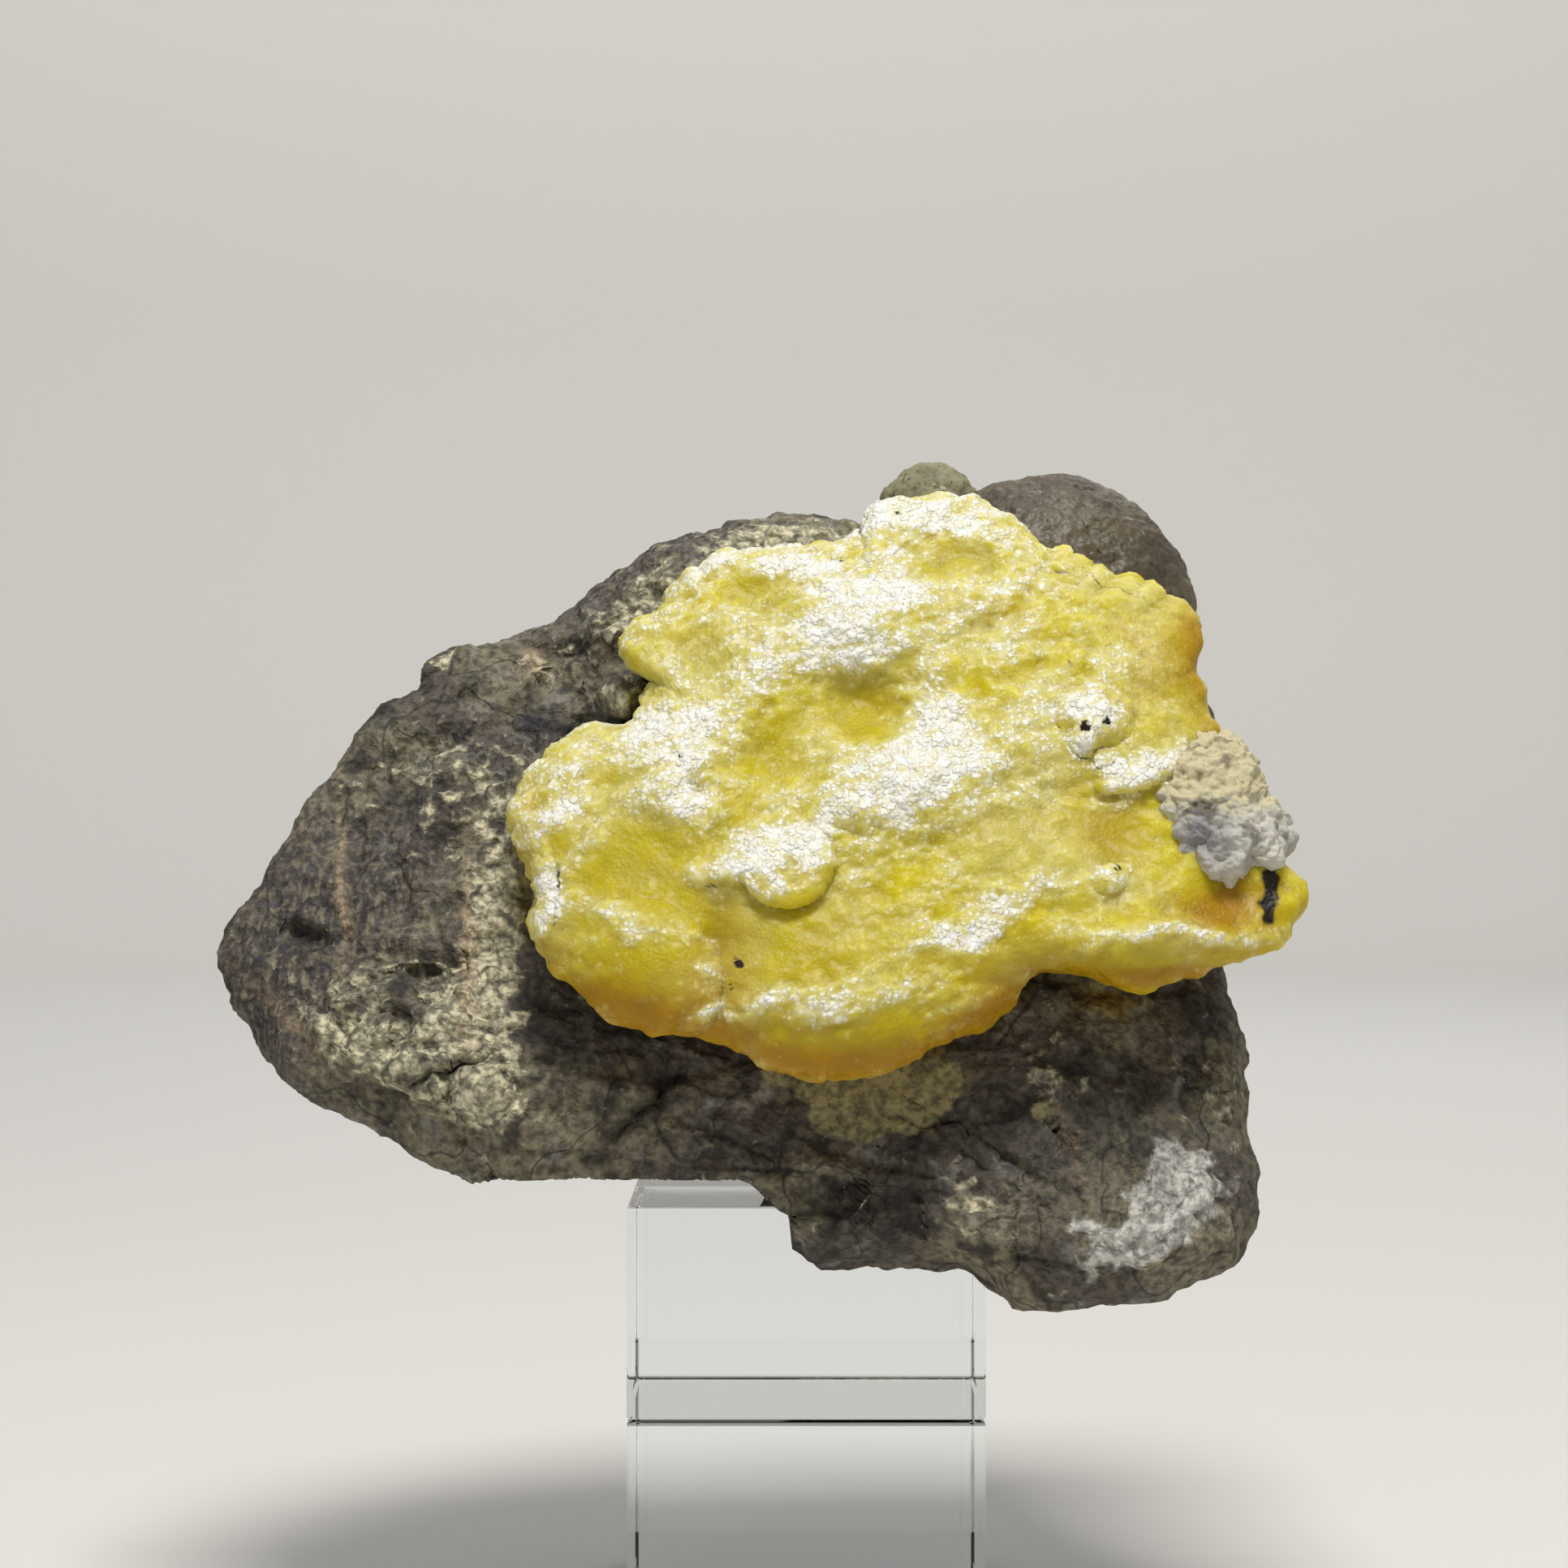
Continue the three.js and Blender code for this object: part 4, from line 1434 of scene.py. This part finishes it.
    # Painted yellow glow of light from the crust, on the rock beside and below it
    crust_glow_spots: tuple[Spot, ...] = (
        Spot(42.2, 88.5, 4.5, 2.6, 0.8),
        Spot(-39.5, 104.0, 1.6, 6.0, 0.55),
        Spot(12.0, 79.0, 14.0, 3.5, 0.22),
    )
    plate_spots: tuple[Spot, ...] = (
        Spot(10.4, 77.0, 12.5, 7.5, 1.0, Profile.ROUND, 10.0),
        Spot(2.0, 80.5, 10.0, 4.5, 0.9, Profile.ROUND),
        Spot(31.5, 74.4, 2.4, 1.8, 1.0, Profile.ROUND, 15.0),
    )
    # The foot's pale fibres, painted brighter where the top light falls on it
    silver_and_light_spots: tuple[Spot, ...] = (
        Spot(50.0, 62.5, 9.0, 4.6, 1.0, turn=38.0),
        Spot(42.0, 57.5, 7.0, 2.6, 0.9, turn=32.0),
        Spot(47.5, 66.5, 5.0, 2.8, 0.9, turn=60.0),
        Spot(36.5, 59.5, 2.6, 1.8, 0.7),
    )
    vein_spots: tuple[Spot, ...] = (
        Spot(-65.7, 103.6, 0.7, 12.0, 0.75, turn=8.0),
        Spot(-47.2, 95.0, 0.7, 13.5, 0.85, turn=3.0),
        Spot(-72.0, 86.5, 9.0, 1.2, 0.5, turn=-38.0),
        Spot(35.6, 70.0, 0.5, 7.0, 0.5, turn=16.0),
        Spot(-39.8, 136.6, 1.8, 2.2, 0.7),
    )
    fibre_spots: tuple[Spot, ...] = (
        Spot(-66.0, 100.0, 15.0, 18.0, 0.85),
        Spot(-76.0, 90.0, 8.0, 10.0, 0.8),
        Spot(-28.0, 149.0, 8.0, 3.4, 0.9, turn=30.0),
        Spot(-14.0, 154.5, 7.0, 2.6, 0.7, turn=15.0),
    )
    # The seat: the rock stays above the upper block, and hangs clear of it at the left
    seat_half: float = 26.5
    seat_top: float = 60.3
    seat_lift: float = 4.6
    seat_roughness: Grit = Grit(8.0, 0.7, 3)
    lift_from: float = -2.0
    lift_ends: Range = (-2.0, -9.0)
    lift_stops: Range = (-60.0, -40.0)
    sag: Spot = Spot(6.0, 2.0, 26.0, 26.0, 16.0)
    # The surface: slabs between cracks, crumbs, fibres and grain, calm on the plates
    bend_sizes: tuple[float, float, float] = (14.0, 11.0, 12.0)
    bend_reach: float = 2.5
    broad: Grit = Grit(30.0, 2.0, 3)
    crack_room: float = 13.0
    crack_slope: float = 7.0
    crack_shape: Line = Line(-1.0, 1.1)
    slab_long: float = 16.0
    slab_thick: float = 5.0
    slab_dip: float = 40.0
    slab_step: float = 1.1
    crumbs: Knobs = Knobs(3.0, 1.0)
    crumbs_by_cream: Line = Line(0.35, 1.7)
    grain: Grit = Grit(5.0, 0.9, 6)
    grain_by_calm: Line = Line(1.0, -0.5)
    fibres: Grit = Grit(1.3, 0.5, 3)
    fibre_squeeze: float = 0.14
    silver_streak: Streak = Streak(0.77, 0.64, 4.0)
    silver_ridges: Grit = Grit(6.0, 1.1, 4)
    plate_calm: float = 0.9
    rim_ends: Range = (0.86, 1.0)
    rim_calm: float = 0.8
    # The colours' masks
    tint_wander: tuple[Grit, Grit] = (Grit(4.0, 1.8, 3), Grit(5.5, 1.8, 3))
    vein_wander: float = 0.4
    front_ends: Range = (0.75, 0.2)
    gap_ends: Range = (0.5, 0.15)
    gap_size: float = 3.0
    gap_shade: float = 0.6
    back_cream: tuple[float, Grit] = (0.4, Grit(22.0, 1.0, 4))
    back_fibre: tuple[float, Grit] = (0.3, Grit(30.0, 1.0, 2))

    def relief_at(self, point: Vector, out: float) -> float:
        """Work out how far the rock's surface stands from its plain one.

        Args:
            point: A place on the plain surface.
            out: How near the rim it is.

        Returns:
            The height in millimetres.
        """
        fibre = clamp(total(self.fibre_spots, point.x, point.z))
        calm = self.plate_calm * clamp(total(self.plate_spots, point.x, point.z))
        crumbly = clamp(total(self.cream_and_light_spots, point.x, point.z))
        silver_and_light = clamp(total(self.silver_and_light_spots, point.x, point.z))
        inner = 1.0 - self.rim_calm * ease(*self.rim_ends, out)
        bent = pushed_aside(point, self.bend_sizes, self.bend_reach)
        near, next_one = noise.voronoi(bent / self.crack_room)[0][:2]
        cracks = self.crack_shape.at(clamp(self.crack_slope * (next_one - near)))
        dipping = bent.z / self.slab_thick + bent.x / self.slab_dip
        slab = Vector((bent.x / self.slab_long, bent.y / self.slab_long, dipping))
        slabs = self.slab_step * noise.cell(slab)
        lumps = self.crumbs_by_cream.at(crumbly) * self.crumbs.at(bent)
        threads = Vector((point.x, point.y, self.fibre_squeeze * point.z))
        streaks = fibre * self.fibres.at(threads)
        streaks += silver_and_light * self.silver_ridges.at(self.silver_streak.at(point))
        height = self.broad.at(point) + (cracks + slabs) * inner * (1.0 - calm)
        height += lumps * (1.0 - calm)
        return height + self.grain.at(point) * self.grain_by_calm.at(calm) + streaks

    def detail(self, point: Vector, normal: Vector, out: float) -> Vector:
        """Break the plain rock into lumps, ledges, fibres and grain, and seat it.

        Args:
            point: A place on the plain surface.
            normal: The way it faces.
            out: How near the rim it is.

        Returns:
            The place on the real surface.
        """
        moved = point + normal * self.relief_at(point, out)
        moved.z -= max(0.0, -normal.z) * self.sag.at(point.x, point.y)
        lift = self.seat_lift * ease(*self.lift_ends, moved.x) * ease(*self.lift_stops, moved.x)
        raised = self.seat_top + lift
        if moved.x < self.lift_from and moved.z < raised:
            moved.z = raised + self.seat_roughness.tall + self.seat_roughness.at(point)
        over_block = abs(moved.x) < self.seat_half and moved.y > -self.seat_half
        if over_block and moved.z < self.seat_top:
            moved.z = self.seat_top
        return moved

    def paint(self, point: Vector, normal: Vector, out: float) -> dict[str, float]:
        """Say where the rock carries each of its colours.

        Args:
            point: A place on the real surface.
            normal: The way it faces.
            out: How near the rim it is.

        Returns:
            The masks.
        """
        wander = self.tint_wander[0].at(point)
        x = point.x + wander
        z = point.z + self.tint_wander[1].at(point)
        front = ease(*self.front_ends, normal.y)
        behind = 1.0 - front
        cream_and_light = total(self.cream_and_light_spots, x, z)
        gap = ease(*self.gap_ends, lobes(point, self.gap_size)) * clamp(cream_and_light)
        level, patches = self.back_cream
        back_cream = behind * (level + patches.at(point))
        level, patches = self.back_fibre
        back_fibre = behind * (level + patches.at(point))
        return {
            # The cream crust, with painted light on the left ledge
            "cream_and_light": cream_and_light * front + back_cream,
            # Painted shade in cracks, hollows, crevices and the crust's shadow
            "dark": (total(self.painted_shade_spots, x, z) + self.gap_shade * gap) * front,
            "plate": total(self.plate_spots, x, z) * front,
            # The foot's pale fibres, with painted light on them
            "silver_and_light": total(self.silver_and_light_spots, x, z) * front,
            "vein": total(self.vein_spots, point.x + self.vein_wander * wander, point.z) * front,
            "blue": total(self.blue_spots, x, z) * front,
            # Painted yellow glow of light from the crust
            "crust_glow": total(self.crust_glow_spots, x, z) * front,
            "fibre": total(self.fibre_spots, x, z) * front + back_fibre,
        }


@dataclass
class CarbonateNodule(Lump):
    """The grey-white granular lump on the crust's right end."""

    name: str = "pale_nodule"
    points: Corners = NODULE_EDGE
    centre: tuple[float, float] = (57.0, 115.0)
    rim_y: float = -31.0
    rim_z: float = 110.0
    lean: float = CRUST_LEAN
    front: float = 7.0
    back: float = 7.0
    squareness: float = 2.2
    cuts: int = 64
    bend_sizes: tuple[float, float, float] = (4.0, 5.0, 3.0)
    bend_reach: float = 0.8
    heaps: Knobs = Knobs(5.6, 2.6)
    grains: Knobs = Knobs(2.1, 1.3)
    rough: Grit = Grit(1.4, 0.6, 4)
    tan_ends: Range = (112.0, 121.0)
    tan_most: float = 0.8
    top_ends: Range = (0.2, 0.9)
    top_tan: float = 0.3
    pit_room: float = 3.4
    pit_ends: Range = (0.62, 0.85)
    pit_dark: float = 0.7
    pits_start: Range = (108.0, 114.0)
    lavender: Spot = Spot(53.5, 112.0, 3.2, 3.4, 0.9)

    def detail(self, point: Vector, normal: Vector, out: float) -> Vector:
        """Heap the nodule's grains, in three sizes.

        Args:
            point: A place on the plain surface.
            normal: The way it faces.
            out: How near the rim it is.

        Returns:
            The place on the real surface.
        """
        bent = pushed_aside(point, self.bend_sizes, self.bend_reach)
        height = self.heaps.at(bent) + self.grains.at(bent)
        return point + normal * (height + self.rough.at(point))

    def paint(self, point: Vector, normal: Vector, out: float) -> dict[str, float]:
        """Say where the nodule is tan, pitted or lavender-grey.

        Args:
            point: A place on the real surface.
            normal: The way it faces.
            out: How near the rim it is.

        Returns:
            The masks.
        """
        pits = ease(*self.pit_ends, noise.voronoi(point / self.pit_room)[0][0])
        top = self.top_tan * ease(*self.top_ends, normal.z)
        return {
            "tan": ease(*self.tan_ends, point.z) * self.tan_most + top,
            "pit": self.pit_dark * pits * ease(*self.pits_start, point.z),
            "lavender": self.lavender.at(point.x, point.z),
        }


@dataclass
class RearLobe(Lump):
    """A rounded lobe that grew behind the crust."""

    grain: float = 0.25
    knob_room: float = 3.0
    knob_share: float = 2.0
    swell: Grit = Grit(16.0, 0.9, 2)
    grain_size: float = 1.4

    def detail(self, point: Vector, normal: Vector, out: float) -> Vector:
        """Give the lobe its shallow knobs and grain.

        Args:
            point: A place on the plain surface.
            normal: The way it faces.
            out: How near the rim it is.

        Returns:
            The place on the real surface.
        """
        knobs = Knobs(self.knob_room, self.grain * self.knob_share)
        grain = Grit(self.grain_size, self.grain, 4)
        return point + normal * (self.swell.at(point) + knobs.at(point) + grain.at(point))


@dataclass
class DisplayBlock:
    """One polished acrylic block of the stand."""

    name: str
    node: str
    chamfer: float = 0.5
    chamfer_steps: int = 3

    def build(self, finish: bpy.types.Material) -> bpy.types.Object:
        """Make the block where the frame has it, with polished chamfers.

        Args:
            finish: The clear material.

        Returns:
            The finished block.
        """
        low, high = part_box(self.node)
        middle = (low + high) / 2.0
        mesh_maker = bmesh.new()
        bmesh.ops.create_cube(mesh_maker, size=1.0)
        bmesh.ops.scale(mesh_maker, vec=high - low, verts=mesh_maker.verts)
        bmesh.ops.translate(mesh_maker, vec=middle, verts=mesh_maker.verts)
        bmesh.ops.bevel(
            mesh_maker,
            geom=mesh_maker.edges[:],
            offset=self.chamfer * MM,
            segments=self.chamfer_steps,
            profile=0.5,
            affect="EDGES",
            material=-1,
        )
        return finished(mesh_maker, self.name, finish)


@dataclass(frozen=True)
class Softbox:
    """A rectangular studio light aimed at the specimen."""

    name: str
    place: tuple[float, float, float]
    wide: float
    tall: float
    watts: float
    colour: tuple[float, float, float] = (1.0, 1.0, 1.0)
    target: tuple[float, float, float] = (0.0, 0.0, 0.11)

    def build(self) -> bpy.types.Object:
        """Hang the light, and turn it to its target.

        Returns:
            The lamp.
        """
        light = bpy.data.lights.new(self.name, "AREA")
        light.shape = "RECTANGLE"
        light.size = self.wide
        light.size_y = self.tall
        light.energy = self.watts
        light.color = self.colour
        lamp = bpy.data.objects.new(self.name, light)
        lamp.location = self.place
        aim = Vector(self.target) - Vector(self.place)
        lamp.rotation_euler = aim.to_track_quat("-Z", "Y").to_euler()
        bpy.context.scene.collection.objects.link(lamp)
        return lamp


@dataclass
class Studio:
    """The pale floor and backdrop, the lights and the camera."""

    floor_radius: float = 1.7
    sweep_radius: float = 0.5
    wall_height: float = 0.85
    sweep_steps: int = 24
    turn_steps: int = 96
    eye: tuple[float, float, float] = (-0.0031, -0.490, 0.1188)
    lens_mm: float = 76.77
    sensor_mm: float = 36.0
    world_strength: float = 0.28
    lights: tuple[Softbox, ...] = (
        Softbox("overhead_softbox", (0.05, -0.34, 0.98), 0.36, 0.3, 7.5, (1.0, 0.985, 0.96)),
        Softbox("front_fill", (-0.5, -1.0, 0.45), 0.8, 0.8, 0.7, (0.97, 0.98, 1.0)),
        Softbox("back_rim", (0.35, 0.9, 0.9), 0.6, 0.6, 1.5),
        Softbox("backdrop_wash", (0.0, 1.0, 1.7), 1.6, 0.5, 14.0, (1.0, 1.0, 1.0), (0.0, 2.3, 0.5)),
    )

    def sweep(self) -> bpy.types.Object:
        """Spin the floor's profile into a round seamless backdrop.

        Returns:
            The floor and backdrop, in one piece.
        """
        mesh_maker = bmesh.new()
        profile = [mesh_maker.verts.new((0.0, 0.0, 0.0))]
        for step in range(self.sweep_steps + 1):
            turn = 0.5 * math.pi * step / self.sweep_steps
            x = self.floor_radius + self.sweep_radius * math.sin(turn)
            z = self.sweep_radius * (1.0 - math.cos(turn))
            profile.append(mesh_maker.verts.new((x, 0.0, z)))
        wall = self.floor_radius + self.sweep_radius
        profile.append(mesh_maker.verts.new((wall, 0.0, self.wall_height)))
        edges = [mesh_maker.edges.new(pair) for pair in zip(profile, profile[1:])]
        bmesh.ops.spin(
            mesh_maker,
            geom=profile + edges,
            cent=(0.0, 0.0, 0.0),
            axis=(0.0, 0.0, 1.0),
            angle=2.0 * math.pi,
            steps=self.turn_steps,
            use_merge=True,
        )
        bmesh.ops.remove_doubles(mesh_maker, verts=mesh_maker.verts, dist=1e-5)
        bmesh.ops.recalc_face_normals(mesh_maker, faces=mesh_maker.faces)
        for face in mesh_maker.faces:
            face.smooth = True
        return finished(mesh_maker, "backdrop_sweep", MattePaper().make())

    def camera(self) -> bpy.types.Object:
        """Stand the camera where the photograph was taken from, level and square on.

        Returns:
            The camera.
        """
        data = bpy.data.cameras.new("photo_camera")
        data.lens = self.lens_mm
        data.sensor_width = self.sensor_mm
        eye = bpy.data.objects.new("photo_camera", data)
        eye.location = self.eye
        eye.rotation_euler = (math.pi / 2.0, 0.0, 0.0)
        bpy.context.scene.collection.objects.link(eye)
        return eye

    def build(self) -> None:
        """Set up the whole studio."""
        scene = bpy.context.scene
        scene.camera = self.camera()
        scene.view_settings.view_transform = "Standard"
        world = bpy.data.worlds.new("studio_air")
        world.use_nodes = True
        world.node_tree.nodes["Background"].inputs["Color"].default_value = (1.0, 1.0, 1.0, 1.0)
        world.node_tree.nodes["Background"].inputs["Strength"].default_value = self.world_strength
        scene.world = world
        self.sweep()
        for light in self.lights:
            light.build()


@dataclass
class Specimen:
    """All the specimen's pieces, and what each one replaces in the frame."""

    crust: BruciteCrust = field(default_factory=BruciteCrust)
    rock: MatrixRock = field(default_factory=MatrixRock)
    nodule: CarbonateNodule = field(default_factory=CarbonateNodule)

    def rear_lobes(self) -> list[tuple[RearLobe, Botryoid, str, str]]:
        """Return the two rear lobes with their finishes, nodes and slots.

        Returns:
            The dome's and the knob's.
        """
        dome = RearLobe(
            name="brown_dome",
            points=ellipse(37.0, 144.5, 22.0, 21.6),
            centre=(37.0, 144.5),
            rim_y=20.0,
            rim_z=144.5,
            lean=0.15,
            front=17.0,
            back=19.0,
            squareness=2.1,
            cuts=84,
        )
        knob = RearLobe(
            name="green_knob",
            points=ellipse(19.0, 157.6, 8.4, 9.4),
            centre=(19.0, 157.6),
            rim_y=15.0,
            rim_z=157.6,
            lean=0.2,
            front=8.0,
            back=9.0,
            squareness=2.1,
            cuts=48,
            grain=0.35,
        )
        brown = Botryoid(
            name="botryoid_brown_smooth",
            body="#4C4231",
            second="#5F5540",
            dark="#2B251B",
            roughness=0.5,
            mottling=Waves(9.0, 4.0),
        )
        green = Botryoid(
            name="botryoid_grey_green",
            body="#736E53",
            second="#8E8969",
            dark="#403C2C",
            roughness=0.7,
            mottling=Waves(4.0, 4.0),
        )
        return [
            (dome, brown, "rear_dome", "brown_botryoid"),
            (knob, green, "rear_knob", "grey_green_botryoid"),
        ]

    def add(self, piece: bpy.types.Object, node: str, slot: str) -> None:
        """Attach a piece to the body, and hide the node that it replaces.

        Args:
            piece: The finished object.
            node: The node that it replaces.
            slot: Not used.
        """
        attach(piece, BODY)
        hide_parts(node)
        LOG.info("%s: %d faces, replaces %s", piece.name, len(piece.data.polygons), node)

    def build(self) -> None:
        """Build every piece in order."""
        self.add(self.rock.build(HostRock().make()), "matrix_rock", "host_rock")
        self.add(self.crust.build(WaxyBrucite().make()), "brucite_crust", "yellow_brucite")
        self.add(self.nodule.build(ChalkyNodule().make()), "carbonate_nodule", "pale_carbonate")
        for lobe, finish, node, slot in self.rear_lobes():
            self.add(lobe.build(finish.make()), node, slot)
        clear = PolishedAcrylic().make()
        for place in ("upper", "lower"):
            block = DisplayBlock(f"{place}_block", f"display_block_{place}")
            self.add(block.build(clear), block.node, "clear_acrylic")


def main() -> None:
    """Load the frame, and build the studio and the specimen."""
    logging.basicConfig(level=logging.INFO, format="%(message)s")
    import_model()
    Studio().build()
    Specimen().build()


if __name__ == "__main__":
    main()
